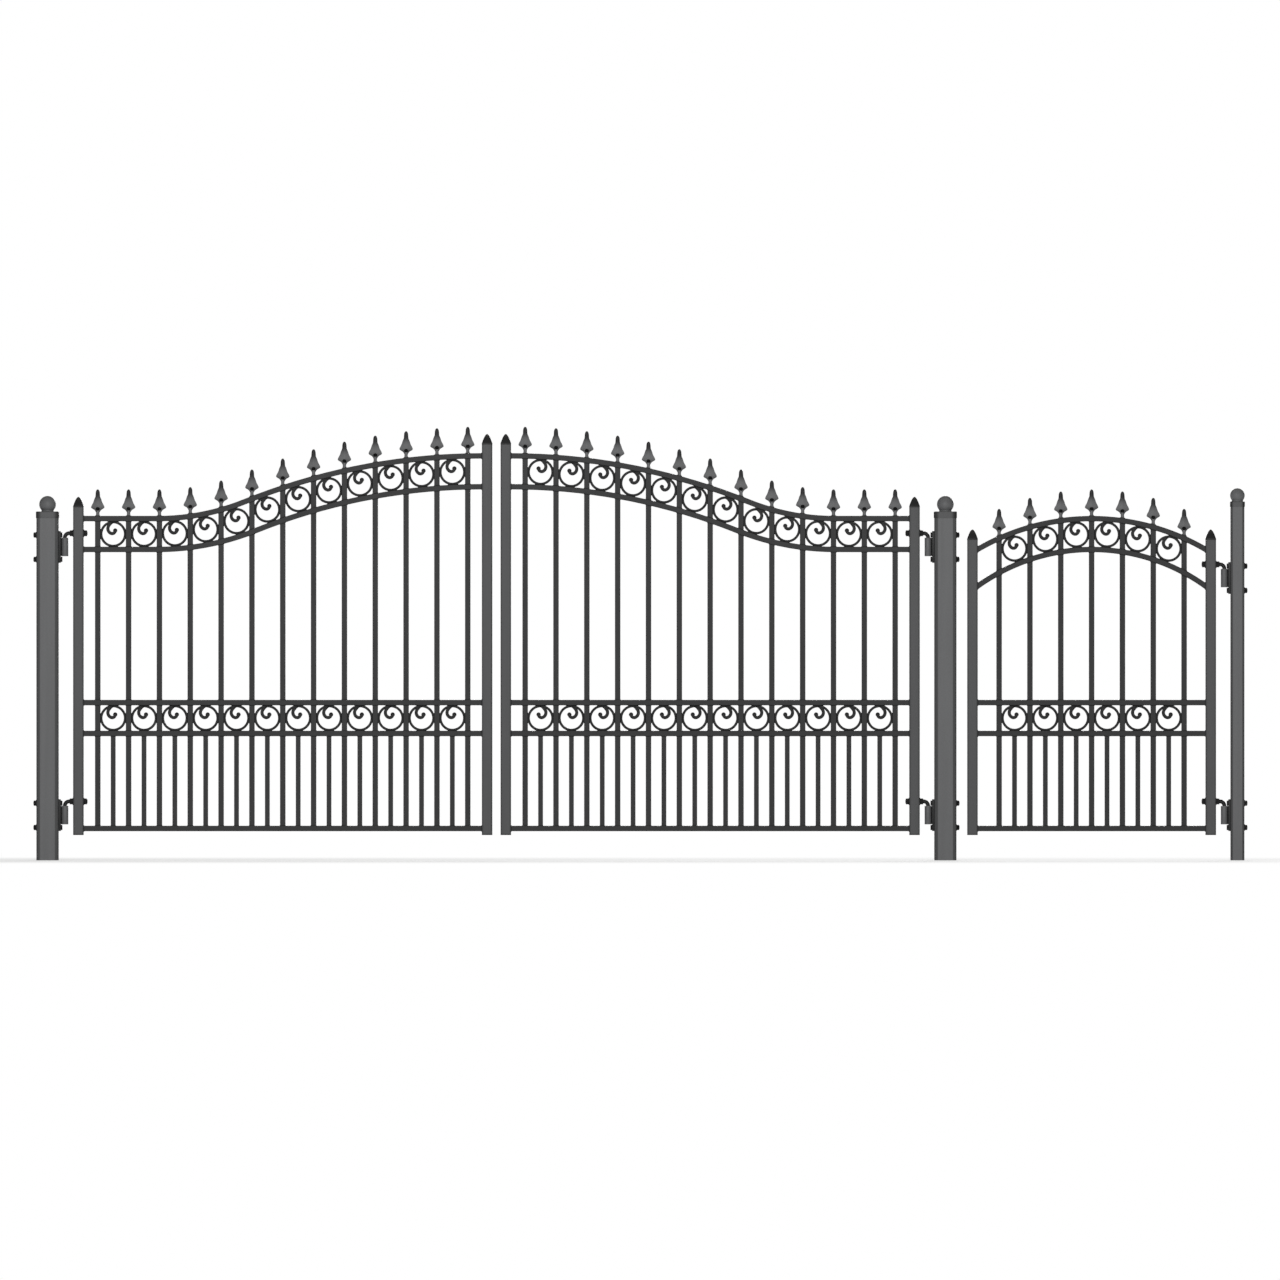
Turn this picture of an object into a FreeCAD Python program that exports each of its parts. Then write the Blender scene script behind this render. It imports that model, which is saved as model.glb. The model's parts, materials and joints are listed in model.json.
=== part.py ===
"""Estate gate set: a pair of swan-necked drive leaves and an arched walk gate, hung between three posts.

Frame: +X runs along the gate line from the left post to the right post, +Y points behind the gate and
+Z is up. The origin is on the ground, midway between the two ends of the set, in the plane of the leaves.
Every leaf is first built with its first stile on the Z axis, then set in its place along X.
"""
import FreeCAD, Part
import math
import os

Vector = FreeCAD.Vector
X_AXIS = Vector(1, 0, 0)
Y_AXIS = Vector(0, 1, 0)
Z_AXIS = Vector(0, 0, 1)
ORIGIN = Vector(0, 0, 0)

# ---- Driving dimensions, in millimetres ----

# Square tube of each kind: outer side, wall, outer corner radius
MAIN_POST = (101.6, 3.0, 6.0)
SMALL_POST = (63.5, 3.0, 5.0)
STILE = (48.0, 2.5, 4.0)
PICKET = (25.0, 1.5, 2.0)
DOG_BAR = (22.0, 1.5, 2.0)

# Rails are rectangular tube, deeper than the pickets that pass through them
RAIL_HEIGHT = 25.0
RAIL_DEPTH = 40.0
RAIL_WALL = 2.0
RAIL_CORNER = 3.0

# Layout along X
DRIVE_SPAN = 1880.0         # between the stile centres of one drive leaf
WALK_SPAN = 1096.0          # between the stile centres of the walk gate
HINGE_GAP = 67.0            # post face to hinge stile
MEETING_GAP = 38.0          # between the two drive leaves
LATCH_GAP = 50.0            # middle post to the walk gate's latch stile
DRIVE_PICKETS = 13
WALK_PICKETS = 7
PICKET_PITCH = 141.83

# Heights above the ground
LEAF_FOOT = 116.0
BOTTOM_RAIL_Z = 146.0
LOWER_WAIST_Z = 583.0
BAND_PITCH = 142.0          # centre to centre of the two rails of every scroll band
LOW_RAIL_Z = 1571.5         # top rail of a drive leaf beside its hinge
RAIL_RISE = 288.5           # from there up to the crown beside the meeting stile
HINGE_STILE_TOP = 1623.0
MEETING_STILE_TOP = 1912.0
WALK_STILE_TOP = 1473.0
MAIN_CAP_TOP = 1604.0       # flange of the ball cap
SMALL_CAP_TOP = 1650.0

# Swan neck and arch
FLAT_RUN = 341.0            # level start of the drive leaf's top rail
SWEEP_RADIUS = 1070.0       # hollow part of the swan neck, on the top rail's centreline
ARCH_RADIUS = 1041.0        # walk gate's top rail centreline
ARCH_APEX_Z = 1571.4

# Ring scrolls
RING_INNER_RADIUS = 49.2
RING_OUTER_RADIUS = 60.7    # dressed flat where it meets the pickets and the rails
SCROLL_DEPTH = 12.0
CURL_BAR = 15.0
CURL_CENTRE = (-0.5, 25.0)
CURL_RADIUS = 24.0
CURL_SCARF = (45.0, 88.0)   # its long tapered start under the ring, in degrees from +X about that centre
CURL_END_ANGLE = 245.0      # where it tightens towards the eye
EYE_RADIUS = 14.0
EYE_END_ANGLE = 361.0
EYE_BALL_RADIUS = 10.0
SLOPE_REACH = 1.0           # a band's slope is taken this far to each side of a bay's middle

# Spearheads: the blade's half outline as half width and drop below the tip, then the rest
SPEAR_TIP = (7.0, 5.5)
SPEAR_SPIKE = (10.5, 31.0)
SPEAR_FLANK = (19.5, 56.0)
SPEAR_BARB = (31.0, 82.0)
SPEAR_HEEL = (15.5, 95.0)
SPEAR_NECK_DROP = 107.0
SPEAR_HEIGHT = 122.0        # tip above the top face of the rail
SPEAR_SHANK_RADIUS = 8.0
SPEAR_KNOB_RADIUS = 11.5
SPEAR_KNOB_DROP = 91.0
SPEAR_THICKNESS = 11.0
SPIGOT_LENGTH = 15.0        # shank below the top rail's centreline

# Ball caps: flange top, skirt height, ball radius, ball centre above the flange, neck radius
MAIN_CAP = (MAIN_CAP_TOP, 30.0, 38.5, 33.0, 28.0)
SMALL_CAP = (SMALL_CAP_TOP, 24.0, 33.5, 27.5, 26.0)

# Caps and plugs
CAP_WALL = 1.9
CAP_CLEARANCE = 0.1
CAP_LID = 3.0
CAP_CORNER = 5.0
CAP_CHAMFER = 2.0
STILE_CAP_SIDE = 49.0
STILE_CAP_BASE = 5.0
STILE_CAP_POINT = 44.0
STILE_CAP_POWER = 0.55      # the point's half width follows its remaining height to this power
STILE_CAP_STEPS = (0.75, 0.5, 0.25, 0.1, 0.03, 0.01)
INSERT_LENGTH = 14.0
INSERT_CLEARANCE = 0.2
INSERT_CORNER = 1.0
PLUG_THICKNESS = 5.0

# Hinges: heights of the hinge rods, and offsets below each rod
DRIVE_TOP_ROD_Z = 1504.0
WALK_TOP_ROD_Z = 1361.0
LOWER_ROD_Z = 270.5
AXIS_OFFSET = 28.5          # hinge axis from the post's face
ROD_RADIUS = 9.0
ROD_BEND = 20.0
BEARING_CLEARANCE = 0.05    # radial, pin in barrel
BARREL_RADIUS = 16.0
BARREL_DROP = 20.5
BARREL_LENGTH = 85.0
WEB_WIDTH = 16.0
PLATE_THICKNESS = 10.0
PLATE_WIDTH = 56.0
PLATE_ABOVE = 10.0
PLATE_BELOW = 136.0
PLATE_CORNER = 6.0
BOLT_DROPS = (8.0, 120.0)

# Fasteners
HEX_EASE_IN = 0.06          # radius lost at the end faces of a hexagon, as a share of its flats
HEX_EASE_ALONG = 0.04       # length of the eased part, as a share of its flats
BOLT_RADIUS = 8.0
BOLT_FLATS = 24.0
BOLT_HEAD = 7.5
POST_NUT = 10.0
POST_WASHER = 3.0
POST_WASHER_RADIUS = 15.0
BOLT_TIP = 1.5
ROD_NUT_FLATS = 27.0
ROD_NUT = 13.0
ROD_WASHER = 3.0
ROD_WASHER_RADIUS = 17.0
ROD_TIP = 2.0
THREAD_CLEARANCE = 0.1
HOLE_CLEARANCE = 0.25
PUNCH_CLEARANCE = 0.2

# Modelling allowances
TOOL_OVERRUN = 1.0          # how far a cutting solid runs past the face that it opens
ENVELOPE_MARGIN = 0.1       # how far an envelope stands outside what it only trims at the ends
SMALLEST_CORNER = 0.5       # inner corner radius of a tube whose wall is thicker than its outer radius

# ---- Derived layout ----

STILE_HALF = STILE[0] / 2
POST_HALF = MAIN_POST[0] / 2
SMALL_HALF = SMALL_POST[0] / 2
BOLT_STICKOUT = POST_WASHER + POST_NUT + BOLT_TIP

DRIVE_PITCH = MAIN_POST[0] + 2 * (HINGE_GAP + DRIVE_SPAN + STILE[0]) + MEETING_GAP
WALK_PITCH = POST_HALF + LATCH_GAP + WALK_SPAN + STILE[0] + HINGE_GAP + SMALL_HALF
SET_LENGTH = 2 * BOLT_STICKOUT + POST_HALF + DRIVE_PITCH + WALK_PITCH + SMALL_HALF

LEFT_POST_X = BOLT_STICKOUT + POST_HALF - SET_LENGTH / 2
MIDDLE_POST_X = LEFT_POST_X + DRIVE_PITCH
RIGHT_POST_X = MIDDLE_POST_X + WALK_PITCH

LEFT_FACE_X = LEFT_POST_X + POST_HALF
MIDDLE_FACE_X = MIDDLE_POST_X - POST_HALF
RIGHT_FACE_X = RIGHT_POST_X - SMALL_HALF
LEFT_LEAF_X = LEFT_FACE_X + HINGE_GAP + STILE_HALF
RIGHT_LEAF_X = MIDDLE_FACE_X - HINGE_GAP - STILE_HALF
WALK_LEAF_X = MIDDLE_POST_X + POST_HALF + LATCH_GAP + STILE_HALF

UPPER_WAIST_Z = LOWER_WAIST_Z + BAND_PITCH
CROWN_Z = LOW_RAIL_Z + RAIL_RISE
SWEEP_START = STILE_HALF + FLAT_RUN
CROWN_X = DRIVE_SPAN - STILE_HALF
SWEEP_ANGLE = 2 * math.atan(RAIL_RISE / (CROWN_X - SWEEP_START))
CROWN_RADIUS = (CROWN_X - SWEEP_START) / math.sin(SWEEP_ANGLE) - SWEEP_RADIUS
ARCH_CENTRE_X = WALK_SPAN / 2
ARCH_CENTRE_Z = ARCH_APEX_Z - ARCH_RADIUS

RING_FLAT = (PICKET_PITCH - PICKET[0]) / 2 - PUNCH_CLEARANCE


# ---- Shared shapes ----

def rounded_face(width, depth, radius):
    """Flat rectangle with round corners in the XY plane, centred on the origin."""
    edges = []
    ends = []
    for quarter, (side_x, side_y) in enumerate(((1, 1), (-1, 1), (-1, -1), (1, -1))):
        centre = Vector(side_x * (width / 2 - radius), side_y * (depth / 2 - radius), 0)
        arc = Part.makeCircle(radius, centre, Z_AXIS, 90 * quarter, 90 * quarter + 90)
        edges.append(arc)
        ends.append((arc.valueAt(arc.FirstParameter), arc.valueAt(arc.LastParameter)))
    for quarter in range(4):
        edges.append(Part.makeLine(ends[quarter][1], ends[(quarter + 1) % 4][0]))
    return Part.Face(Part.Wire(Part.__sortEdges__(edges)))


def tube_face(width, depth, wall, radius):
    """Cross-section of a rectangular tube in the XY plane."""
    inner_radius = max(radius - wall, SMALLEST_CORNER)
    inner = rounded_face(width - 2 * wall, depth - 2 * wall, inner_radius)
    return rounded_face(width, depth, radius).cut(inner).Faces[0]


def upright_tube(section, x, foot, head):
    """Square tube standing at x, from the height foot to the height head."""
    side, wall, radius = section
    tube = tube_face(side, side, wall, radius).extrude(Vector(0, 0, head - foot))
    tube.translate(Vector(x, 0, foot))
    return tube


def upright_bar(side, radius, x, foot, head):
    """Solid square bar with round corners, used as a plug or as a punch."""
    bar = rounded_face(side, side, radius).extrude(Vector(0, 0, head - foot))
    bar.translate(Vector(x, 0, foot))
    return bar


def cylinder_along_x(radius, x, z, length):
    return Part.makeCylinder(radius, length, Vector(x, 0, z), X_AXIS)


def hexagon_along_x(flats, x, z, length):
    """Hexagonal prism along X with two flats level, its corners eased as on a machined nut."""
    corner_radius = flats / math.sqrt(3)
    points = []
    for corner in range(7):
        angle = math.radians(60 * corner)
        points.append(Vector(0, corner_radius * math.cos(angle), corner_radius * math.sin(angle)))
    prism = Part.Face(Part.makePolygon(points)).extrude(Vector(length, 0, 0))
    end_radius = corner_radius - HEX_EASE_IN * flats
    full_radius = corner_radius + ENVELOPE_MARGIN
    eased = HEX_EASE_ALONG * flats
    lathe_profile = [
        Vector(0, 0, 0),
        Vector(0, 0, end_radius),
        Vector(eased, 0, full_radius),
        Vector(length - eased, 0, full_radius),
        Vector(length, 0, end_radius),
        Vector(length, 0, 0),
        Vector(0, 0, 0),
    ]
    envelope = Part.Face(Part.makePolygon(lathe_profile)).revolve(ORIGIN, X_AXIS, 360)
    hexagon = prism.common(envelope).Solids[0]
    hexagon.translate(Vector(x, 0, z))
    return hexagon


def nut_along_x(flats, bore_radius, x, z, length):
    bore = cylinder_along_x(bore_radius, x - TOOL_OVERRUN, z, length + 2 * TOOL_OVERRUN)
    return hexagon_along_x(flats, x, z, length).cut(bore).Solids[0]


def washer_along_x(outer_radius, bore_radius, x, z, thickness):
    bore = cylinder_along_x(bore_radius, x - TOOL_OVERRUN, z, thickness + 2 * TOOL_OVERRUN)
    return cylinder_along_x(outer_radius, x, z, thickness).cut(bore).Solids[0]


def placed(solids, x, turned=False):
    """Copies of the solids set down at x, turned half round the Z axis when they face the other way."""
    result = []
    for solid in solids:
        copy = solid.copy()
        if turned:
            copy.rotate(ORIGIN, Z_AXIS, 180)
        copy.translate(Vector(x, 0, 0))
        result.append(copy)
    return result


# ---- Rails ----

def rail_section(x, z):
    """Cross-section of a rail, standing across X."""
    section = tube_face(RAIL_HEIGHT, RAIL_DEPTH, RAIL_WALL, RAIL_CORNER)
    section.rotate(ORIGIN, Y_AXIS, 90)
    section.translate(Vector(x, 0, z))
    return section


def straight_rail(z, span):
    """Level rail from the first stile's inner face to the second's."""
    return rail_section(STILE_HALF, z).extrude(Vector(span - STILE[0], 0, 0))


def swan_rail(drop):
    """Rail of a drive leaf that keeps its distance, drop, below the top rail's centreline."""
    degrees = math.degrees(SWEEP_ANGLE)
    level = rail_section(STILE_HALF, LOW_RAIL_Z - drop).extrude(Vector(FLAT_RUN, 0, 0))
    sweep_centre = Vector(SWEEP_START, 0, LOW_RAIL_Z + SWEEP_RADIUS)
    sweep = rail_section(SWEEP_START, LOW_RAIL_Z - drop).revolve(sweep_centre, -Y_AXIS, degrees)
    crown_centre = Vector(CROWN_X, 0, CROWN_Z - CROWN_RADIUS)
    crown = rail_section(CROWN_X, CROWN_Z - drop).revolve(crown_centre, -Y_AXIS, degrees)
    return level.fuse([sweep, crown]).Solids[0]


def swan_height(x, drop):
    """Height of a swan rail's centreline at x."""
    sweep_radius = SWEEP_RADIUS + drop
    crown_radius = CROWN_RADIUS - drop
    if x <= SWEEP_START:
        return LOW_RAIL_Z - drop
    if x <= SWEEP_START + sweep_radius * math.sin(SWEEP_ANGLE):
        return LOW_RAIL_Z + SWEEP_RADIUS - math.sqrt(sweep_radius ** 2 - (x - SWEEP_START) ** 2)
    return CROWN_Z - CROWN_RADIUS + math.sqrt(crown_radius ** 2 - (CROWN_X - x) ** 2)


def swan_slope(x):
    """Slope angle of the top rail's centreline at x, in radians."""
    if x <= SWEEP_START:
        return 0.0
    if x <= SWEEP_START + SWEEP_RADIUS * math.sin(SWEEP_ANGLE):
        return math.asin((x - SWEEP_START) / SWEEP_RADIUS)
    return math.asin((CROWN_X - x) / CROWN_RADIUS)


def arch_rail(drop):
    """Arched rail of the walk gate, trimmed upright where it meets the stiles."""
    radius = ARCH_RADIUS - drop
    past_stile = WALK_SPAN / 2
    half_angle = math.degrees(math.asin(past_stile / (radius - RAIL_HEIGHT)))
    centre = Vector(ARCH_CENTRE_X, 0, ARCH_CENTRE_Z)
    section = rail_section(ARCH_CENTRE_X, ARCH_APEX_Z - drop)
    section.rotate(centre, Y_AXIS, -half_angle)
    arch = section.revolve(centre, Y_AXIS, 2 * half_angle)
    between_stiles = Part.makeBox(
        WALK_SPAN - STILE[0], 2 * RAIL_DEPTH, 2 * ARCH_RADIUS, Vector(STILE_HALF, -RAIL_DEPTH, ARCH_CENTRE_Z)
    )
    return arch.common(between_stiles).Solids[0]


def arch_height(x, drop):
    """Height of an arched rail's centreline at x."""
    return ARCH_CENTRE_Z + math.sqrt((ARCH_RADIUS - drop) ** 2 - (x - ARCH_CENTRE_X) ** 2)


def arch_slope(x):
    """Slope angle of the walk gate's top rail at x, in radians."""
    return math.asin((x - ARCH_CENTRE_X) / ARCH_RADIUS)


def punched(rail, heights):
    """Rail with a square hole right through it for every picket; heights gives its z at each picket's x."""
    side = PICKET[0] + 2 * PUNCH_CLEARANCE
    punches = [upright_bar(side, PICKET[2], x, z - RAIL_DEPTH, z + RAIL_DEPTH) for x, z in heights]
    return rail.cut(punches).Solids[0]


def punched_top(rail, heights):
    """Top rail with picket holes in its lower wall and round spigot holes in its upper wall."""
    side = PICKET[0] + 2 * PUNCH_CLEARANCE
    tools = []
    for x, z in heights:
        tools.append(upright_bar(side, PICKET[2], x, z - RAIL_DEPTH, z))
        tools.append(Part.makeCylinder(SPEAR_SHANK_RADIUS + PUNCH_CLEARANCE, RAIL_DEPTH, Vector(x, 0, z)))
    return rail.cut(tools).Solids[0]


# ---- Ornaments ----

def arc_in_elevation(centre, radius, start, end):
    """Circular arc in the XZ plane; angles in degrees, anticlockwise seen from the front, from +X."""
    middle = (start + end) / 2
    points = []
    for angle in (start, middle, end):
        turn = math.radians(angle)
        points.append(Vector(centre[0] + radius * math.cos(turn), 0, centre[1] + radius * math.sin(turn)))
    return Part.Arc(*points).toShape()


def flatted_ring(slope):
    """Ring round the origin with upright flats for the pickets and flats at the rails' slope."""
    outer = Part.makeCylinder(RING_OUTER_RADIUS, SCROLL_DEPTH, ORIGIN, Y_AXIS)
    inner = Part.makeCylinder(RING_INNER_RADIUS, SCROLL_DEPTH, ORIGIN, Y_AXIS)
    width = 2 * RING_FLAT
    length = 4 * RING_FLAT
    between_pickets = Part.makeBox(width, SCROLL_DEPTH, length, Vector(-width / 2, 0, -length / 2))
    between_rails = Part.makeBox(length, SCROLL_DEPTH, width, Vector(-length / 2, 0, -width / 2))
    between_rails.rotate(ORIGIN, Y_AXIS, -math.degrees(slope))
    return outer.common(between_pickets).common(between_rails).cut(inner)


def scroll(slope):
    """Ring, centred on the origin, with a curl that starts under its top and winds in to a round eye."""
    half = CURL_BAR / 2
    ring = flatted_ring(slope)
    turn = math.radians(CURL_END_ANGLE)
    closer = CURL_RADIUS - EYE_RADIUS
    eye_centre = (CURL_CENTRE[0] + closer * math.cos(turn), CURL_CENTRE[1] + closer * math.sin(turn))
    outer_path = [
        arc_in_elevation(CURL_CENTRE, CURL_RADIUS + half, CURL_SCARF[0], CURL_END_ANGLE),
        arc_in_elevation(eye_centre, EYE_RADIUS + half, CURL_END_ANGLE, EYE_END_ANGLE),
    ]
    inner_path = [
        arc_in_elevation(eye_centre, EYE_RADIUS - half, CURL_END_ANGLE, EYE_END_ANGLE),
        arc_in_elevation(CURL_CENTRE, CURL_RADIUS - half, CURL_SCARF[1], CURL_END_ANGLE),
    ]
    end_cap = Part.makeLine(outer_path[1].Vertexes[-1].Point, inner_path[0].Vertexes[-1].Point)
    scarf = Part.makeLine(inner_path[1].Vertexes[0].Point, outer_path[0].Vertexes[0].Point)
    outline = Part.Wire(Part.__sortEdges__(outer_path + [end_cap] + inner_path + [scarf]))
    curl = Part.Face(outline).extrude(Vector(0, SCROLL_DEPTH, 0))
    end = math.radians(EYE_END_ANGLE)
    ball_x = eye_centre[0] + EYE_RADIUS * math.cos(end)
    ball_z = eye_centre[1] + EYE_RADIUS * math.sin(end)
    eye = Part.makeCylinder(EYE_BALL_RADIUS, SCROLL_DEPTH, Vector(ball_x, 0, ball_z), Y_AXIS)
    whole = ring.fuse([curl, eye]).Solids[0]
    whole.translate(Vector(0, -SCROLL_DEPTH / 2, 0))
    return whole


def scrolls(bays, height):
    """One scroll in every bay, upright, with its flats at the slope that the band has there."""
    result = []
    for x in bays:
        rise = height(x + SLOPE_REACH) - height(x - SLOPE_REACH)
        whole = scroll(math.atan2(rise, 2 * SLOPE_REACH))
        whole.translate(Vector(x, 0, height(x)))
        result.append(whole)
    return result


def spearhead(spigot_drop):
    """Cast spear with its tip at the origin; its shank reaches spigot_drop below the tip."""
    neck = (SPEAR_SHANK_RADIUS, SPEAR_NECK_DROP)
    outline = ((0, 0), SPEAR_TIP, SPEAR_SPIKE, SPEAR_FLANK, SPEAR_BARB, SPEAR_HEEL, neck)
    right = [Vector(half_width, 0, -drop) for half_width, drop in outline]
    left = [Vector(-half_width, 0, -drop) for half_width, drop in outline]
    edges = []
    for side in (right, left):
        edges.append(Part.makeLine(side[0], side[1]))
        edges.append(Part.makeLine(side[1], side[2]))
        edges.append(Part.Arc(side[2], side[3], side[4]).toShape())
        edges.append(Part.Arc(side[4], side[5], side[6]).toShape())
    edges.append(Part.makeLine(right[6], left[6]))
    blade = Part.Face(Part.Wire(Part.__sortEdges__(edges))).extrude(Vector(0, SPEAR_THICKNESS, 0))
    blade.translate(Vector(0, -SPEAR_THICKNESS / 2, 0))
    knob = Part.makeSphere(SPEAR_KNOB_RADIUS, Vector(0, 0, -SPEAR_KNOB_DROP))
    shank_length = spigot_drop - SPEAR_KNOB_DROP
    shank = Part.makeCylinder(SPEAR_SHANK_RADIUS, shank_length, Vector(0, 0, -spigot_drop))
    return blade.fuse([knob, shank]).Solids[0]


def spearheads(heights, slope):
    """A spear over every picket, its visible part standing on the rail's upper face."""
    result = []
    for x, rail_z in heights:
        top_face = rail_z + RAIL_HEIGHT / 2 / math.cos(slope(x))
        tip = top_face + SPEAR_HEIGHT
        spear = spearhead(tip - rail_z + SPIGOT_LENGTH)
        spear.translate(Vector(x, 0, tip))
        result.append(spear)
    return result


# ---- Caps and plugs ----

def ball_cap(post, top, height, ball_radius, ball_rise, neck_radius):
    """Square cap with a skirt that sleeves over the post, carrying a ball on a short neck."""
    outer_side = post[0] + 2 * (CAP_WALL + CAP_CLEARANCE)
    shell = upright_bar(outer_side, CAP_CORNER, 0, top - height, top)
    rim = [edge for edge in shell.Edges if edge.BoundBox.ZMin > top - height / 2]
    shell = shell.makeChamfer(CAP_CHAMFER, rim)
    pocket_side = post[0] + 2 * CAP_CLEARANCE
    pocket = upright_bar(pocket_side, post[2], 0, top - height - TOOL_OVERRUN, top - CAP_LID)
    ball = Part.makeSphere(ball_radius, Vector(0, 0, top + ball_rise))
    middle_of_lid = top - CAP_LID / 2
    neck = Part.makeCylinder(neck_radius, top + ball_rise - middle_of_lid, Vector(0, 0, middle_of_lid))
    corner = Vector(-outer_side, -outer_side, middle_of_lid - outer_side)
    below_flange = Part.makeBox(2 * outer_side, 2 * outer_side, outer_side, corner)
    return shell.cut(pocket).fuse([neck, ball.cut(below_flange)]).Solids[0]


def square_wire(half, z):
    corners = [Vector(half, half, z), Vector(-half, half, z), Vector(-half, -half, z), Vector(half, -half, z)]
    return Part.makePolygon(corners + corners[:1])


def stile_cap(x, stile_top):
    """Push-in cap: a square base, a swelling four-sided point and an insert that grips the tube."""
    half = STILE_CAP_SIDE / 2
    sections = [square_wire(half, 0), square_wire(half, STILE_CAP_BASE)]
    for remaining in STILE_CAP_STEPS:
        height = STILE_CAP_BASE + STILE_CAP_POINT * (1 - remaining)
        sections.append(square_wire(half * remaining ** STILE_CAP_POWER, height))
    point = Part.makeLoft(sections, True, True)
    insert_side = STILE[0] - 2 * STILE[1] - 2 * INSERT_CLEARANCE
    insert = upright_bar(insert_side, INSERT_CORNER, 0, -INSERT_LENGTH, 0)
    cap = point.fuse(insert).Solids[0]
    cap.translate(Vector(x, 0, stile_top))
    return cap


def stile_plug(x):
    """Plug closing a stile's foot."""
    flange = upright_bar(STILE[0], STILE[2], x, LEAF_FOOT, LEAF_FOOT + PLUG_THICKNESS)
    insert_side = STILE[0] - 2 * STILE[1] - 2 * INSERT_CLEARANCE
    insert_foot = LEAF_FOOT + PLUG_THICKNESS
    insert = upright_bar(insert_side, INSERT_CORNER, x, insert_foot, insert_foot + INSERT_LENGTH)
    return flange.fuse(insert).Solids[0]


# ---- Hinges, built with the post's face at x = 0 and the leaf towards +X ----

def hinge_bracket(rod_z):
    """Bolted plate with a barrel welded to it on a web."""
    height = PLATE_ABOVE + PLATE_BELOW
    plate = rounded_face(height, PLATE_WIDTH, PLATE_CORNER).extrude(Vector(0, 0, PLATE_THICKNESS))
    plate.rotate(ORIGIN, Y_AXIS, 90)
    plate.translate(Vector(0, 0, rod_z + PLATE_ABOVE - height / 2))
    barrel_foot = rod_z - BARREL_DROP - BARREL_LENGTH
    barrel = Part.makeCylinder(BARREL_RADIUS, BARREL_LENGTH, Vector(AXIS_OFFSET, 0, barrel_foot))
    web_reach = AXIS_OFFSET - PLATE_THICKNESS
    web_corner = Vector(PLATE_THICKNESS, -WEB_WIDTH / 2, barrel_foot)
    web = Part.makeBox(web_reach, WEB_WIDTH, BARREL_LENGTH, web_corner)
    bore_radius = ROD_RADIUS + BEARING_CLEARANCE
    bore_foot = Vector(AXIS_OFFSET, 0, barrel_foot - TOOL_OVERRUN)
    tools = [Part.makeCylinder(bore_radius, BARREL_LENGTH + 2 * TOOL_OVERRUN, bore_foot)]
    hole_radius = BOLT_RADIUS + HOLE_CLEARANCE
    for drop in BOLT_DROPS:
        hole_length = PLATE_THICKNESS + 2 * TOOL_OVERRUN
        tools.append(cylinder_along_x(hole_radius, -TOOL_OVERRUN, rod_z - drop, hole_length))
    return plate.fuse([barrel, web]).cut(tools).Solids[0]


def hinge_rod(rod_z):
    """J-bolt: a pin in the barrel, a bend, and a level leg through the stile."""
    pin_foot = rod_z - BARREL_DROP - BARREL_LENGTH
    bend_z = rod_z - ROD_BEND
    pin = Part.makeCylinder(ROD_RADIUS, bend_z - pin_foot, Vector(AXIS_OFFSET, 0, pin_foot))
    disc = Part.Face(Part.Wire(Part.makeCircle(ROD_RADIUS, Vector(AXIS_OFFSET, 0, bend_z), Z_AXIS)))
    bend = disc.revolve(Vector(AXIS_OFFSET + ROD_BEND, 0, bend_z), Y_AXIS, 90)
    leg_x = AXIS_OFFSET + ROD_BEND
    leg_end = HINGE_GAP + STILE[0] + ROD_WASHER + ROD_NUT + ROD_TIP
    leg = cylinder_along_x(ROD_RADIUS, leg_x, rod_z, leg_end - leg_x)
    return pin.fuse([bend, leg]).Solids[0]


def rod_nuts(rod_z):
    """Washer and nut on each side of the stile."""
    bore = ROD_RADIUS + THREAD_CLEARANCE
    near = HINGE_GAP
    far = HINGE_GAP + STILE[0]
    return [
        washer_along_x(ROD_WASHER_RADIUS, bore, near - ROD_WASHER, rod_z, ROD_WASHER),
        nut_along_x(ROD_NUT_FLATS, bore, near - ROD_WASHER - ROD_NUT, rod_z, ROD_NUT),
        washer_along_x(ROD_WASHER_RADIUS, bore, far, rod_z, ROD_WASHER),
        nut_along_x(ROD_NUT_FLATS, bore, far + ROD_WASHER, rod_z, ROD_NUT),
    ]


def post_bolt(z, post_side):
    """Hex bolt from the plate right through the post."""
    head = hexagon_along_x(BOLT_FLATS, PLATE_THICKNESS, z, BOLT_HEAD)
    shank_end = -post_side - BOLT_STICKOUT
    shank = cylinder_along_x(BOLT_RADIUS, shank_end, z, PLATE_THICKNESS - shank_end)
    return head.fuse(shank).Solids[0]


def post_washer(z, post_side):
    bore = BOLT_RADIUS + THREAD_CLEARANCE
    return washer_along_x(POST_WASHER_RADIUS, bore, -post_side - POST_WASHER, z, POST_WASHER)


def post_nut(z, post_side):
    bore = BOLT_RADIUS + THREAD_CLEARANCE
    return nut_along_x(BOLT_FLATS, bore, -post_side - POST_WASHER - POST_NUT, z, POST_NUT)


def bored_stile(stile, x, rod_heights):
    """Stile with a hole through it for the leg of every hinge rod."""
    radius = ROD_RADIUS + HOLE_CLEARANCE
    holes = [cylinder_along_x(radius, x - STILE[0], z, 2 * STILE[0]) for z in rod_heights]
    return stile.cut(holes).Solids[0]


def bored_post(section, x, top, rod_heights):
    """Post standing on the ground with its hinge bolt holes."""
    post = upright_tube(section, x, 0, top)
    radius = BOLT_RADIUS + HOLE_CLEARANCE
    holes = []
    for rod_z in rod_heights:
        for drop in BOLT_DROPS:
            holes.append(cylinder_along_x(radius, x - section[0], rod_z - drop, 2 * section[0]))
    return post.cut(holes).Solids[0]


# ---- Leaves ----

def picket_positions(count, span):
    first = (span - PICKET_PITCH * (count - 1)) / 2
    return [first + PICKET_PITCH * index for index in range(count)]


def bay_positions(pickets):
    return [(left + right) / 2 for left, right in zip(pickets, pickets[1:])]


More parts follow.
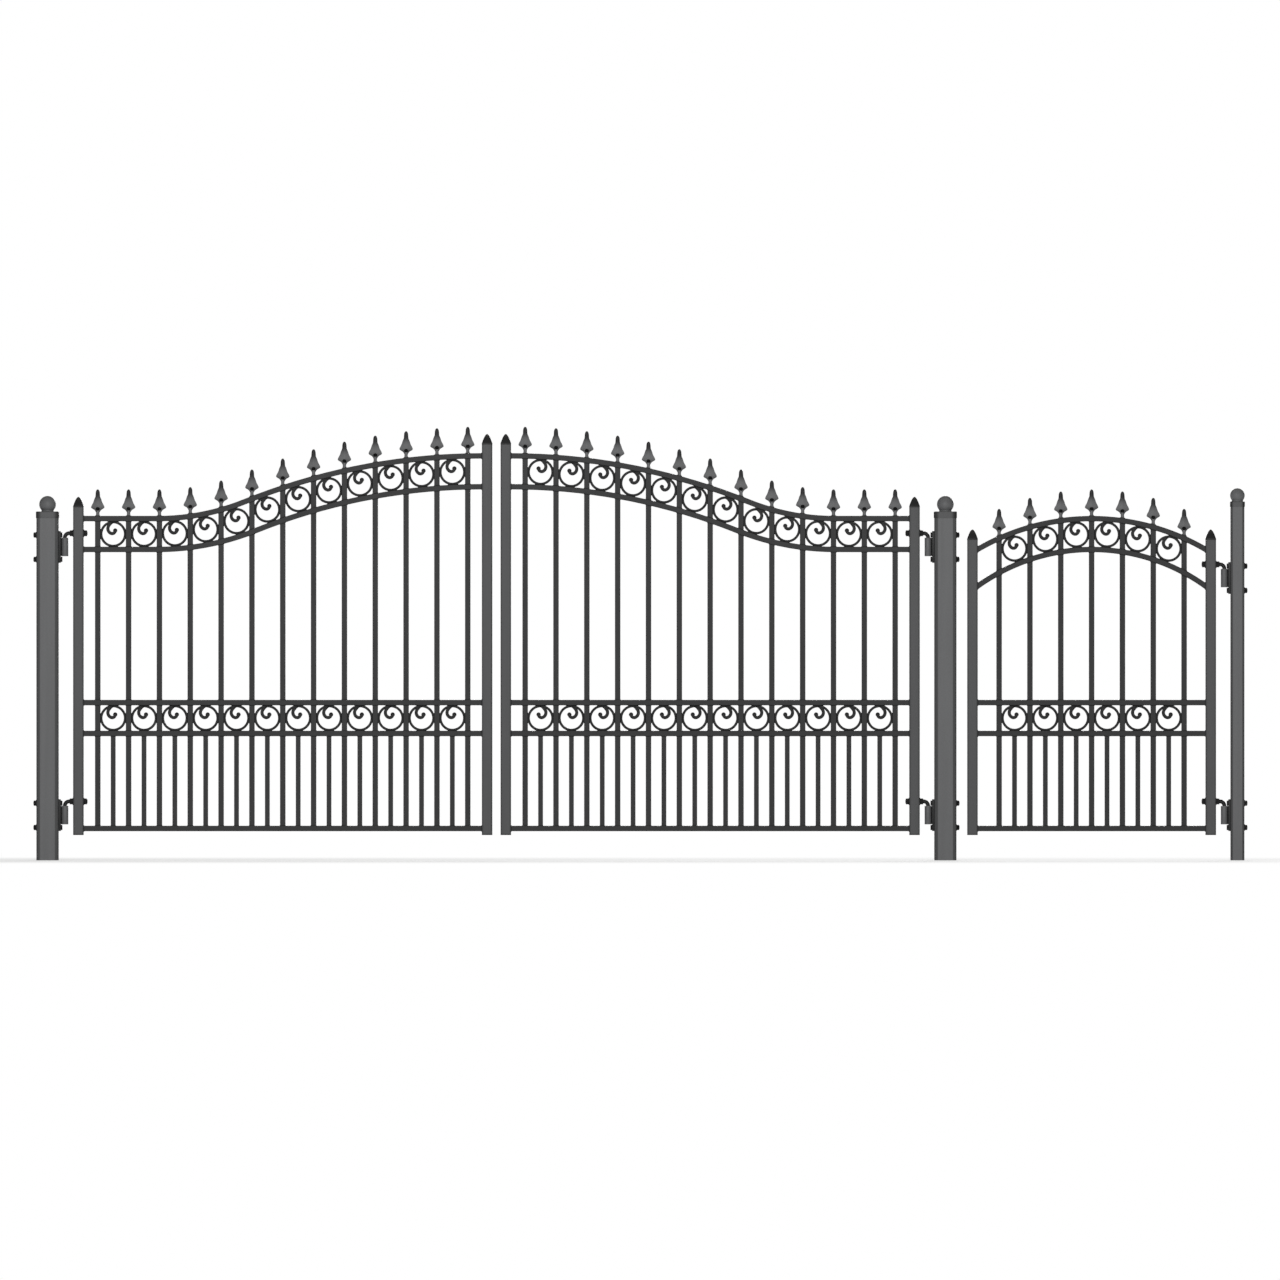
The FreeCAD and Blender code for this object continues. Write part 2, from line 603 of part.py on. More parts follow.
def leaf_parts(span, pickets, height, slope, top_rail, second_rail):
    """Everything that a leaf's frame holds between its stiles, by node name."""
    bays = bay_positions(pickets)
    top_heights = [(x, height(x, 0)) for x in pickets]
    second_heights = [(x, height(x, BAND_PITCH)) for x in pickets]
    upper_heights = [(x, UPPER_WAIST_Z) for x in pickets]
    lower_heights = [(x, LOWER_WAIST_Z) for x in pickets]
    rail_top = BOTTOM_RAIL_Z + RAIL_HEIGHT / 2
    rail_underside = LOWER_WAIST_Z - RAIL_HEIGHT / 2
    return {
        "top_rail": [punched_top(top_rail, top_heights)],
        "second_rail": [punched(second_rail, second_heights)],
        "upper_waist_rail": [punched(straight_rail(UPPER_WAIST_Z, span), upper_heights)],
        "lower_waist_rail": [punched(straight_rail(LOWER_WAIST_Z, span), lower_heights)],
        "bottom_rail": [straight_rail(BOTTOM_RAIL_Z, span)],
        "pickets": [upright_tube(PICKET, x, rail_top, z) for x, z in top_heights],
        "dog_bars": [upright_tube(DOG_BAR, x, rail_top, rail_underside) for x in bays],
        "spearheads": spearheads(top_heights, slope),
        "arch_scrolls": scrolls(bays, lambda x: height(x, BAND_PITCH / 2)),
        "waist_scrolls": scrolls(bays, lambda x: LOWER_WAIST_Z + BAND_PITCH / 2),
    }


def hinge_hardware(rod_heights):
    """Rods and their nuts on one leaf."""
    rods = [hinge_rod(z) for z in rod_heights]
    nuts = []
    for z in rod_heights:
        nuts.extend(rod_nuts(z))
    return rods, nuts


def drive_leaf():
    """Drive leaf with its hinge stile on the Z axis and its meeting stile towards +X."""
    pickets = picket_positions(DRIVE_PICKETS, DRIVE_SPAN)
    top_rail = swan_rail(0)
    second_rail = swan_rail(BAND_PITCH)
    parts = leaf_parts(DRIVE_SPAN, pickets, swan_height, swan_slope, top_rail, second_rail)
    tube_foot = LEAF_FOOT + PLUG_THICKNESS
    rod_heights = (DRIVE_TOP_ROD_Z, LOWER_ROD_Z)
    hinge_stile = upright_tube(STILE, 0, tube_foot, HINGE_STILE_TOP)
    parts["hinge_stile"] = [bored_stile(hinge_stile, 0, rod_heights)]
    parts["meeting_stile"] = [upright_tube(STILE, DRIVE_SPAN, tube_foot, MEETING_STILE_TOP)]
    parts["stile_caps"] = [stile_cap(0, HINGE_STILE_TOP), stile_cap(DRIVE_SPAN, MEETING_STILE_TOP)]
    parts["stile_plugs"] = [stile_plug(0), stile_plug(DRIVE_SPAN)]
    return parts


def walk_leaf():
    """Walk gate with its latch stile on the Z axis and its hinge stile towards +X."""
    pickets = picket_positions(WALK_PICKETS, WALK_SPAN)
    top_rail = arch_rail(0)
    second_rail = arch_rail(BAND_PITCH)
    parts = leaf_parts(WALK_SPAN, pickets, arch_height, arch_slope, top_rail, second_rail)
    tube_foot = LEAF_FOOT + PLUG_THICKNESS
    rod_heights = (WALK_TOP_ROD_Z, LOWER_ROD_Z)
    hinge_stile = upright_tube(STILE, WALK_SPAN, tube_foot, WALK_STILE_TOP)
    parts["latch_stile"] = [upright_tube(STILE, 0, tube_foot, WALK_STILE_TOP)]
    parts["hinge_stile"] = [bored_stile(hinge_stile, WALK_SPAN, rod_heights)]
    parts["stile_caps"] = [stile_cap(0, WALK_STILE_TOP), stile_cap(WALK_SPAN, WALK_STILE_TOP)]
    parts["stile_plugs"] = [stile_plug(0), stile_plug(WALK_SPAN)]
    return parts


# ---- The whole set ----

def build_leaves(nodes):
    """The three leaves with their hinge rods, set in place."""
    hung = (
        ("left", drive_leaf(), LEFT_LEAF_X, False, LEFT_FACE_X, False, DRIVE_TOP_ROD_Z),
        ("right", drive_leaf(), RIGHT_LEAF_X, True, MIDDLE_FACE_X, True, DRIVE_TOP_ROD_Z),
        ("walk", walk_leaf(), WALK_LEAF_X, False, RIGHT_FACE_X, True, WALK_TOP_ROD_Z),
    )
    for name, parts, leaf_x, leaf_turned, face_x, hinge_turned, top_rod_z in hung:
        for part, solids in parts.items():
            nodes[f"{name}_{part}"] = placed(solids, leaf_x, leaf_turned)
        rods, nuts = hinge_hardware((top_rod_z, LOWER_ROD_Z))
        nodes[f"{name}_hinge_rods"] = placed(rods, face_x, hinge_turned)
        nodes[f"{name}_rod_nuts"] = placed(nuts, face_x, hinge_turned)


def build_posts(nodes):
    """Posts, caps, hinge brackets and the bolts that hold them."""
    drive_rods = (DRIVE_TOP_ROD_Z, LOWER_ROD_Z)
    walk_rods = (WALK_TOP_ROD_Z, LOWER_ROD_Z)
    main_top = MAIN_CAP_TOP - CAP_LID
    small_top = SMALL_CAP_TOP - CAP_LID
    posts = (
        ("left", MAIN_POST, LEFT_POST_X, main_top, LEFT_FACE_X, False, drive_rods),
        ("middle", MAIN_POST, MIDDLE_POST_X, main_top, MIDDLE_FACE_X, True, drive_rods),
        ("right", SMALL_POST, RIGHT_POST_X, small_top, RIGHT_FACE_X, True, walk_rods),
    )
    bolts = []
    washers = []
    nuts = []
    for name, section, x, top, face_x, turned, rods in posts:
        nodes[f"{name}_post"] = [bored_post(section, x, top, rods)]
        cap = ball_cap(section, *(MAIN_CAP if section is MAIN_POST else SMALL_CAP))
        nodes[f"{name}_post_cap"] = placed([cap], x)
        nodes[f"{name}_hinge_brackets"] = placed([hinge_bracket(z) for z in rods], face_x, turned)
        bolt_heights = [z - drop for z in rods for drop in BOLT_DROPS]
        bolts += placed([post_bolt(z, section[0]) for z in bolt_heights], face_x, turned)
        washers += placed([post_washer(z, section[0]) for z in bolt_heights], face_x, turned)
        nuts += placed([post_nut(z, section[0]) for z in bolt_heights], face_x, turned)
    nodes["post_bolts"] = bolts
    nodes["post_washers"] = washers
    nodes["post_nuts"] = nuts


def main():
    nodes = {}
    build_posts(nodes)
    build_leaves(nodes)
    os.makedirs("parts", exist_ok=True)
    for name, solids in nodes.items():
        shape = solids[0] if len(solids) == 1 else Part.makeCompound(solids)
        shape.exportStep(f"parts/{name}.step")
    print(len(nodes), "nodes,", sum(len(solids) for solids in nodes.values()), "solids")


main()
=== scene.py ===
"""Looks of the estate gate set: coatings, castings, hinge hardware and welds around the CAD frame.

Everything is in metres in the frame's own axes: +X along the gate line from the left post, +Y behind the
gate, +Z up. Posts, stiles, rails, pickets, dog bars and plugs keep their CAD shape and get a coating.
Caps, spearheads, scrolls and all hinge hardware are built here at the places that the frame gives.
"""
import json
import math
import random

import bmesh
import bpy
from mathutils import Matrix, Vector
from mathutils.bvhtree import BVHTree


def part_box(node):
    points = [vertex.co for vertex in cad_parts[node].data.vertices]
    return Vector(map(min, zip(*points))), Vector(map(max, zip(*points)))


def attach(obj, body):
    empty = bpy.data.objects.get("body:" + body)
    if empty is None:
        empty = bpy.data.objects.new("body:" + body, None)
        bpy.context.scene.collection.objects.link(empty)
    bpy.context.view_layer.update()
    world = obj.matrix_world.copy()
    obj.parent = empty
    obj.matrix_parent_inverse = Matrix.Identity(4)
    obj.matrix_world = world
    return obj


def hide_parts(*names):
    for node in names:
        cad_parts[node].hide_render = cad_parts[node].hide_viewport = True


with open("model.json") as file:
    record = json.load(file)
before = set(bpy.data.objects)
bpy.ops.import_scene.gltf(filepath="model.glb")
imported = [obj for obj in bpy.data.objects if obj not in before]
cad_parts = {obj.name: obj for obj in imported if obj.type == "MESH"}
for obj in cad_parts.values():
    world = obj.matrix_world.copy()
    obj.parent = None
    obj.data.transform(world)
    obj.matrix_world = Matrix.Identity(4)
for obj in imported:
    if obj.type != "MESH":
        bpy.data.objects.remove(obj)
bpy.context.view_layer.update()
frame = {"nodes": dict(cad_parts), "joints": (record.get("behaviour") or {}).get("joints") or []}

MM = 0.001
LEAVES = ("left", "right", "walk")
POSTS = ("left", "middle", "right")
TURNED_LEAVES = ("right",)              # built as the left leaf turned half round
HINGE_SIDE = {"left": 1, "middle": -1, "right": -1}   # from each post towards the leaf that it carries
CARRIED_LEAF = {"left": "left", "middle": "right", "right": "walk"}
SCROLL_BANDS = ("arch_scrolls", "waist_scrolls")
RAILS = ("top_rail", "second_rail", "upper_waist_rail", "lower_waist_rail", "bottom_rail")
SHARP_ANGLE = math.radians(32)
TURNED_SIDES = 48                       # points round hardware and balls
CASTING_SIDES = 24                      # points round spears and the curls' eyes

# ---- Sizes that the frame's boxes don't give ----

PICKET_SIDE = 25 * MM
PICKET_CORNER = 2 * MM
DOG_BAR_SIDE = 22 * MM
RAIL_DEPTH = 40 * MM
RAIL_CORNER = 3 * MM

SPEAR_FOOT = 11.2 * MM                  # radius of the flared foot on the rail
RING_STEPS = 120
RING_INNER_RADIUS = 49.2 * MM
RING_OUTER_RADIUS = 60.7 * MM           # dressed flat where it meets the pickets and the rails
SCROLL_DEPTH = 12 * MM
CURL_BAR = 15 * MM
CURL_CENTRE = (-0.5 * MM, 25 * MM)
CURL_RADIUS = 24 * MM
CURL_SCARF = (45, 138)                  # the curl's tapered start under the ring, in degrees
CURL_TIP = 1.5 * MM                     # thickness at the start of that taper
CURL_END_ANGLE = 245
CURL_STEPS = 16
EYE_RADIUS = 14 * MM
EYE_END_ANGLE = 361
EYE_STEPS = 12
EYE_BALL_RADIUS = 10 * MM

CAP_SIZES = {                           # flange height, ball radius and neck radius
    "left": (30 * MM, 38.5 * MM, 28 * MM),
    "middle": (30 * MM, 38.5 * MM, 28 * MM),
    "right": (24 * MM, 33.5 * MM, 26 * MM),
}
CAP_CORNER = 6 * MM
STILE_CAP_INSERT = 3.2 * MM             # from the cap's side to its insert's side
STILE_CAP_BASE = 5 * MM
STILE_CAP_POINT = 44 * MM
STILE_CAP_POWER = 0.55
STILE_CAP_EDGE = 0.9 * MM

ROD_RADIUS = 9 * MM
ROD_BEND = 20 * MM
ROD_THREAD = 16 * MM
ROD_WASHER = 3 * MM
ROD_WASHER_RADIUS = 17 * MM
ROD_NUT_FLATS = 27 * MM
ROD_THREAD_PITCH = 2 * MM
BARREL_RADIUS = 16 * MM
BARREL_LENGTH = 85 * MM
BARREL_EDGE = ((1.2, 0.0), (0.3, 0.4), (0.0, 1.2))    # inset and distance from the end, in mm
BEARING_CLEARANCE = 0.05 * MM
PLATE_THICKNESS = 10 * MM
PLATE_CORNER = 6 * MM
PLATE_EDGE = ((0, 0.8), (0.8, 0), (9.2, 0), (9.75, 0.25), (10, 0.8))    # depth and inset, in mm
WEB_WIDTH = 16 * MM
BOLT_RADIUS = 8 * MM
BOLT_FLATS = 24 * MM
BOLT_HEAD = 7.5 * MM
# Ends of heads and nuts: distance from the end in mm, and radius as a share of the width across flats
BOLT_CROWN = ((0.0, 0.42), (0.15, 0.455), (0.5, 0.48), (1.0, 0.51), (1.8, 0.555), (2.6, 0.6))
BOLT_THREAD = 14 * MM
BOLT_THREAD_PITCH = 2 * MM
NUT_SHOULDER = ((0.0, 0.47), (0.25, 0.49), (0.8, 0.52), (1.5, 0.56), (2.3, 0.6))
POST_WASHER_RADIUS = 15 * MM
WASHER_EDGE = 0.35 * MM

# ---- Outlines and meshes ----


def rounded_outline(half_width, half_height, radius, steps):
    """Points round a rectangle with round corners, anticlockwise."""
    points = []
    for quarter, (side_u, side_v) in enumerate(((1, 1), (-1, 1), (-1, -1), (1, -1))):
        for step in range(steps + 1):
            angle = math.radians(90 * (quarter + step / steps))
            u = side_u * (half_width - radius) + radius * math.cos(angle)
            v = side_v * (half_height - radius) + radius * math.sin(angle)
            points.append((u, v))
    return points


def circle_outline(radius, count):
    """Points round a circle, anticlockwise."""
    turns = [2 * math.pi * index / count for index in range(count)]
    return [(radius * math.cos(turn), radius * math.sin(turn)) for turn in turns]


def level_ring(outline, x, z):
    """Outline laid level at x and z."""
    return [(x + u, v, z) for u, v in outline]


def upright_ring(radius, x, z):
    """Circle round an axis along X."""
    return [(x, u, z + v) for u, v in circle_outline(radius, TURNED_SIDES)]


def evenly_spaced(path, spacing):
    """Closed path of 3-D points, resampled at an even spacing."""
    corners = [Vector(point) for point in path]
    lengths = [(after - before).length for before, after in zip(corners, corners[1:] + corners[:1])]
    count = max(12, round(sum(lengths) / spacing))
    step = sum(lengths) / count
    result = []
    side = 0
    covered = 0.0
    for index in range(count):
        while covered + lengths[side] < index * step:
            covered += lengths[side]
            side += 1
        share = (index * step - covered) / lengths[side]
        result.append(corners[side].lerp(corners[(side + 1) % len(corners)], share))
    return result


class Piece:
    """A mesh under construction: its points, their tones, its faces and each face's finish."""

    def __init__(self):
        self.points = []
        self.painted_light_tones = []
        self.faces = []
        self.finishes = []

    def loft(self, rings, looped=False, finish=0, painted_light_tones=None):
        """Skin through rings of equally many points, closed at both ends unless the rings loop round."""
        start = len(self.points)
        count = len(rings[0])
        for index, ring in enumerate(rings):
            self.points += [tuple(point) for point in ring]
            self.painted_light_tones += [painted_light_tones[index] if painted_light_tones else 0.5] * count
        spans = len(rings) if looped else len(rings) - 1
        for span in range(spans):
            here = start + span * count
            there = start + (span + 1) % len(rings) * count
            for side in range(count):
                after = (side + 1) % count
                self.faces.append((here + side, here + after, there + after, there + side))
        if not looped:
            last = start + (len(rings) - 1) * count
            self.faces.append(tuple(range(start + count - 1, start - 1, -1)))
            self.faces.append(tuple(range(last, last + count)))
        self.finishes += [finish] * (len(self.faces) - len(self.finishes))

    def place(self, pattern, x, z, turned=False):
        """Adds a copy of another piece at x and z, turned half round the upright axis if asked."""
        sign = -1 if turned else 1
        start = len(self.points)
        self.points += [(x + sign * px, sign * py, z + pz) for px, py, pz in pattern.points]
        self.painted_light_tones += pattern.painted_light_tones
        self.faces += [tuple(start + index for index in face) for face in pattern.faces]
        self.finishes += pattern.finishes

    def build(self, name, body, slot, materials, replaced=()):
        """Makes the Blender object, which rides on a body and stands for the replaced CAD nodes."""
        mesh = bpy.data.meshes.new(name)
        mesh.from_pydata(self.points, [], self.faces)
        for material in materials:
            mesh.materials.append(material)
        mesh.polygons.foreach_set("material_index", self.finishes)
        mesh.polygons.foreach_set("use_smooth", [True] * len(self.faces))
        tone = mesh.attributes.new("tone", "FLOAT", "POINT")
        tone.data.foreach_set("value", self.painted_light_tones)
        shell = bmesh.new()
        shell.from_mesh(mesh)
        bmesh.ops.recalc_face_normals(shell, faces=shell.faces)
        shell.to_mesh(mesh)
        shell.free()
        mesh.set_sharp_from_angle(angle=SHARP_ANGLE)
        piece = bpy.data.objects.new(name, mesh)
        bpy.context.scene.collection.objects.link(piece)
        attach(piece, body)
        if replaced:
            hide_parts(*replaced)


# ---- Places read from the frame ----


def solid_boxes(node):
    """(lowest, highest) corner of every solid in a CAD node, from left to right."""
    shell = bmesh.new()
    shell.from_mesh(frame["nodes"][node].data)
    bmesh.ops.remove_doubles(shell, verts=shell.verts, dist=0.01 * MM)
    unseen = set(shell.verts)
    boxes = []
    while unseen:
        waiting = [unseen.pop()]
        island = []
        while waiting:
            vertex = waiting.pop()
            island.append(vertex.co.copy())
            near = {edge.other_vert(vertex) for edge in vertex.link_edges} & unseen
            unseen -= near
            waiting += near
        low = Vector([min(point[axis] for point in island) for axis in range(3)])
        high = Vector([max(point[axis] for point in island) for axis in range(3)])
        boxes.append((low, high))
    shell.free()
    return sorted(boxes, key=lambda box: (round(box[0].x, 4), box[0].z))


CLEAR_OF_GATE = 10                      # metres above or below, where the searches for a rail start


def surface(node):
    """Search tree of a CAD node's surface."""
    mesh = frame["nodes"][node].data
    return BVHTree.FromPolygons([v.co for v in mesh.vertices], [p.vertices for p in mesh.polygons])


def height_above(tree, x, y):
    """Height of the upper face of a surface at x and y."""
    return tree.ray_cast(Vector((x, y, CLEAR_OF_GATE)), Vector((0, 0, -1)))[0].z


def height_below(tree, x, y):
    """Height of the underside of a surface at x and y."""
    return tree.ray_cast(Vector((x, y, -CLEAR_OF_GATE)), Vector((0, 0, 1)))[0].z


def scroll_places(leaf, band):
    """(x, z, half width, slope of the rails) of every scroll in a band of one leaf."""
    above = surface(f"{leaf}_top_rail" if band == "arch_scrolls" else f"{leaf}_upper_waist_rail")
    below = surface(f"{leaf}_second_rail" if band == "arch_scrolls" else f"{leaf}_lower_waist_rail")
    reach = 10 * MM
    places = []
    for low, high in solid_boxes(f"{leaf}_{band}"):
        x = (low.x + high.x) / 2
        slopes = []
        for height, tree in ((height_below, above), (height_above, below)):
            rise = height(tree, x + reach, 0) - height(tree, x - reach, 0)
            slopes.append(math.atan2(rise, 2 * reach))
        places.append((x, (low.z + high.z) / 2, (high.x - low.x) / 2, sum(slopes) / 2))
    return places


def hinge_axis_x(leaf):
    """Where the upright axis of a leaf's joint stands along the gate line."""
    joint = next(joint for joint in frame["joints"] if joint["child"] == f"{leaf}_leaf")
    return joint["pos_m"][0]


# ---- Castings ----

# Sections of a spear, all in mm: power shapes the section, and tone paints light on the blade, from the dark
# shade of its finish at 0 to a painted highlight at 1 where its broad faces catch the light
SPEAR_BLADE = (                         # drop below the tip, half width, half depth, power, tone
    (0.0, 0.5, 0.5, 1.0, 0.1),
    (0.8, 3.0, 2.4, 1.0, 0.1),
    (2.5, 5.0, 3.6, 1.0, 0.1),
    (5.3, 6.8, 4.6, 1.05, 0.05),
    (9.9, 8.6, 5.2, 1.1, 0.0),
    (14.5, 9.4, 5.5, 1.3, 0.0),
    (24.0, 10.1, 5.6, 1.45, 0.0),
    (31.0, 10.5, 5.7, 1.6, 0.1),
    (35.0, 11.4, 5.8, 1.7, 0.25),
    (39.0, 13.4, 5.9, 1.8, 0.4),
    (43.0, 15.2, 5.9, 1.8, 0.55),
    (48.0, 17.0, 5.9, 1.8, 0.7),
    (54.0, 18.8, 5.9, 1.8, 0.85),
    (60.0, 20.9, 5.8, 1.8, 0.95),
    (65.0, 23.2, 5.8, 1.8, 1.0),
    (70.0, 26.2, 5.7, 1.8, 1.0),
    (75.0, 28.6, 5.6, 1.8, 1.0),
    (80.0, 30.6, 5.4, 1.8, 0.9),
    (83.0, 31.0, 5.3, 1.8, 0.8),
    (85.5, 29.8, 5.3, 1.8, 0.7),
    (88.5, 26.2, 5.4, 1.6, 0.6),
    (91.5, 20.6, 5.6, 1.4, 0.5),
    (94.5, 16.0, 5.9, 1.2, 0.5),
    (98.0, 12.8, 6.4, 1.1, 0.5),
    (102.0, 10.2, 6.9, 1.05, 0.6),
    (106.0, 8.6, 7.2, 1.0, 0.7),
)
SPEAR_KNOB = (                          # drop and radius
    (80.0, 1.0), (80.6, 3.6), (82.0, 6.2), (84.3, 8.4), (87.0, 9.8), (90.0, 10.4), (93.0, 9.9),
    (95.8, 8.5), (98.0, 6.2), (99.4, 3.6), (100.0, 1.0),
)
SPEAR_NECK = (                          # drop and radius down to the flared foot
    (97.0, 6.6), (102.0, 7.7), (108.0, 7.8), (114.0, 7.8), (117.5, 8.2), (120.0, 9.2), (122.0, 10.6),
    (124.0, 11.2), (127.5, 11.2),
)


def spear_ring(drop, half_width, half_depth, power):
    """Section of a spear; power 1 is round, and higher powers draw it into a ridged lozenge."""
    ring = []
    for cosine, sine in circle_outline(1, CASTING_SIDES):
        x = half_width * math.copysign(abs(cosine) ** power, cosine)
        y = half_depth * math.copysign(abs(sine) ** power, sine)
        ring.append((x, y, -drop))
    return ring


def spearhead():
    """Forged spear with its tip at the origin: a ridged blade, a knob and a neck on a flared foot."""
    spear = Piece()
    rings = []
    for drop, half_width, half_depth, power, _ in SPEAR_BLADE:
        rings.append(spear_ring(drop * MM, half_width * MM, half_depth * MM, power))
    spear.loft(rings, painted_light_tones=[section[4] for section in SPEAR_BLADE])
    for finish, turned_shape in ((1, SPEAR_KNOB), (2, SPEAR_NECK)):
        rings = []
        for drop, radius in turned_shape:
            rings.append(level_ring(circle_outline(radius * MM, CASTING_SIDES), 0, -drop * MM))
        spear.loft(rings, finish=finish)
    return spear


def bar_section(centre, angle, near, far):
    """Section of a bar that runs round a centre in elevation, between two distances from it."""
    ring = []
    corner = min(2.4 * MM, 0.45 * (far - near))
    for outwards, depth in rounded_outline((far - near) / 2, SCROLL_DEPTH / 2, corner, 3):
        reach = (near + far) / 2 + outwards
        ring.append((centre[0] + reach * math.cos(angle), depth, centre[1] + reach * math.sin(angle)))
    return ring


def swept_bar(centre, radius, start, end, steps, thin_start=CURL_BAR):
    """Sections of the curl's bar along an arc in degrees, growing inwards from its thickness at the start."""
    rings = []
    outer = radius + CURL_BAR / 2
    for step in range(steps):
        share = step / (steps - 1)
        angle = math.radians(start + (end - start) * share)
        eased = share * share * (3 - 2 * share)
        rings.append(bar_section(centre, angle, outer - thin_start - (CURL_BAR - thin_start) * eased, outer))
    return rings


def flatted_ring(flat, slope):
    """Sections of the ring, flat at the pickets and, at the rails' slope, above and below."""
    rings = []
    for step in range(RING_STEPS):
        angle = 2 * math.pi * step / RING_STEPS
        across = max(abs(math.cos(angle)), abs(math.sin(angle - slope)))
        rings.append(bar_section((0, 0), angle, RING_INNER_RADIUS, min(RING_OUTER_RADIUS, flat / across)))
    return rings


def scroll(flat, slope):
    """Ring, centred on the origin, with a curl that starts under its top and winds in to a round eye."""
    pattern = Piece()
    pattern.loft(flatted_ring(flat, slope), looped=True)
    turn = math.radians(CURL_END_ANGLE)
    closer = CURL_RADIUS - EYE_RADIUS
    eye_centre = (CURL_CENTRE[0] + closer * math.cos(turn), CURL_CENTRE[1] + closer * math.sin(turn))
    scarf = swept_bar(CURL_CENTRE, CURL_RADIUS, *CURL_SCARF, CURL_STEPS, thin_start=CURL_TIP)
    curl = swept_bar(CURL_CENTRE, CURL_RADIUS, CURL_SCARF[1], CURL_END_ANGLE, CURL_STEPS)
    inner = swept_bar(eye_centre, EYE_RADIUS, CURL_END_ANGLE, EYE_END_ANGLE, EYE_STEPS)
    pattern.loft(scarf + curl[1:] + inner[1:])
    turn = math.radians(EYE_END_ANGLE)
    ball_x = eye_centre[0] + EYE_RADIUS * math.cos(turn)
    ball_z = eye_centre[1] + EYE_RADIUS * math.sin(turn)
    eye_ball(pattern, ball_x, ball_z)
    return pattern


def eye_ball(piece, x, z):
    """Round eye, as deep as the scroll, with well rounded edges."""
    roundness = 2.6
    rings = []
    for share in (-1, -0.97, -0.87, -0.65, 0, 0.65, 0.87, 0.97, 1):
        radius = max(0.05, (1 - abs(share) ** roundness) ** (1 / roundness)) * EYE_BALL_RADIUS
        outline = circle_outline(radius, CASTING_SIDES)
        rings.append([(x + u, share * (SCROLL_DEPTH / 2), z + v) for u, v in outline])
    piece.loft(rings)


def stile_cap(piece, low, high):
    """Push-in cap: insert, square base and a swelling four-sided point."""
    x = (low.x + high.x) / 2
    half = (high.x - low.x) / 2
    base_z = high.z - STILE_CAP_BASE - STILE_CAP_POINT
    insert = half - STILE_CAP_INSERT
    edge = STILE_CAP_EDGE
    rings = [
        level_ring(rounded_outline(insert - edge, insert - edge, edge, 4), x, low.z),
        level_ring(rounded_outline(insert, insert, edge, 4), x, low.z + edge),
        level_ring(rounded_outline(insert, insert, edge, 4), x, base_z + edge),
        level_ring(rounded_outline(half - edge, half - edge, 2 * MM, 4), x, base_z + 0.05 * MM),
        level_ring(rounded_outline(half, half, 2.6 * MM, 4), x, base_z + edge),
        level_ring(rounded_outline(half, half, 2.6 * MM, 4), x, base_z + STILE_CAP_BASE - 0.6 * edge),
    ]
    steps = 16
    for step in range(steps + 1):
        remaining = (1 - step / steps) ** 1.6
        reach = max(half * remaining ** STILE_CAP_POWER, 0.6 * MM)
        corner = min(0.42 * reach, 2.2 * MM + 5 * MM * (1 - remaining))
        z = base_z + STILE_CAP_BASE + STILE_CAP_POINT * (1 - remaining)
        rings.append(level_ring(rounded_outline(reach, reach, corner, 4), x, z))
    piece.loft(rings)


def post_cap(post):
    """Cast cap: a flange with eased edges that sleeves over the post, and a ball on a short neck."""
    low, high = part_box(f"{post}_post_cap")
    flange_height, ball_radius, neck_radius = CAP_SIZES[post]
    half = (high.x - low.x) / 2
    x = (low.x + high.x) / 2
    inside = half - 2 * MM
    top = low.z + flange_height
    outer = (                           # inset and height along the skirt and over the rim
        (0.5 * MM, low.z),
        (0.0, low.z + 0.6 * MM),
        (0.0, top - 3.2 * MM),
        (0.3 * MM, top - 2.0 * MM),
        (1.0 * MM, top - 1.0 * MM),
        (2.2 * MM, top - 0.3 * MM),
        (4.0 * MM, top),
    )
    piece = Piece()
    socket = rounded_outline(inside, inside, CAP_CORNER - 0.5 * MM, 6)
    rings = [level_ring(socket, x, top - 3 * MM), level_ring(socket, x, low.z + 0.4 * MM)]
    for inset, z in outer:
        reach = half - inset
        rings.append(level_ring(rounded_outline(reach, reach, CAP_CORNER, 6), x, z))
    piece.loft(rings, finish=1)
    cap_ball(piece, x, high.z - ball_radius, top, ball_radius, neck_radius)
    return piece


def cap_ball(piece, x, centre_z, flange_top, ball_radius, neck_radius):
    """Ball of a cap on its short neck, which flares where it meets the flange."""
    foot_angle = -math.acos(neck_radius / ball_radius)
    foot_z = centre_z + ball_radius * math.sin(foot_angle)
    neck = [                            # radius and height, from inside the flange up to the ball
        (neck_radius + 2.4 * MM, flange_top - 1 * MM),
        (neck_radius + 2.2 * MM, flange_top + 0.1 * MM),
        (neck_radius + 0.9 * MM, flange_top + 0.5 * MM),
        (neck_radius + 0.2 * MM, flange_top + 1.3 * MM),
        (neck_radius, foot_z - 0.5 * MM),
        (neck_radius, foot_z),
    ]
    steps = 26
    ball = []
    for step in range(1, steps + 1):
        angle = foot_angle + (math.pi / 2 - foot_angle) * step / steps
        radius = max(ball_radius * math.cos(angle), 0.3 * MM)
        ball.append((radius, centre_z + ball_radius * math.sin(angle)))
    piece.loft([level_ring(circle_outline(radius, TURNED_SIDES), x, z) for radius, z in neck + ball])


# ---- Hinge hardware ----


def hexagon_ring(flats, limit, x, z):
    """Section of a hexagon with level flats across X, trimmed by a circle of radius limit."""
    ring = []
    for turn in range(TURNED_SIDES):
        angle = 2 * math.pi * turn / TURNED_SIDES
        from_corner = abs((angle + math.pi / 6) % (math.pi / 3) - math.pi / 6)
        radius = min(flats / 2 / math.cos(math.pi / 6 - from_corner), limit)
        ring.append((x, radius * math.cos(angle), z + radius * math.sin(angle)))
    return ring


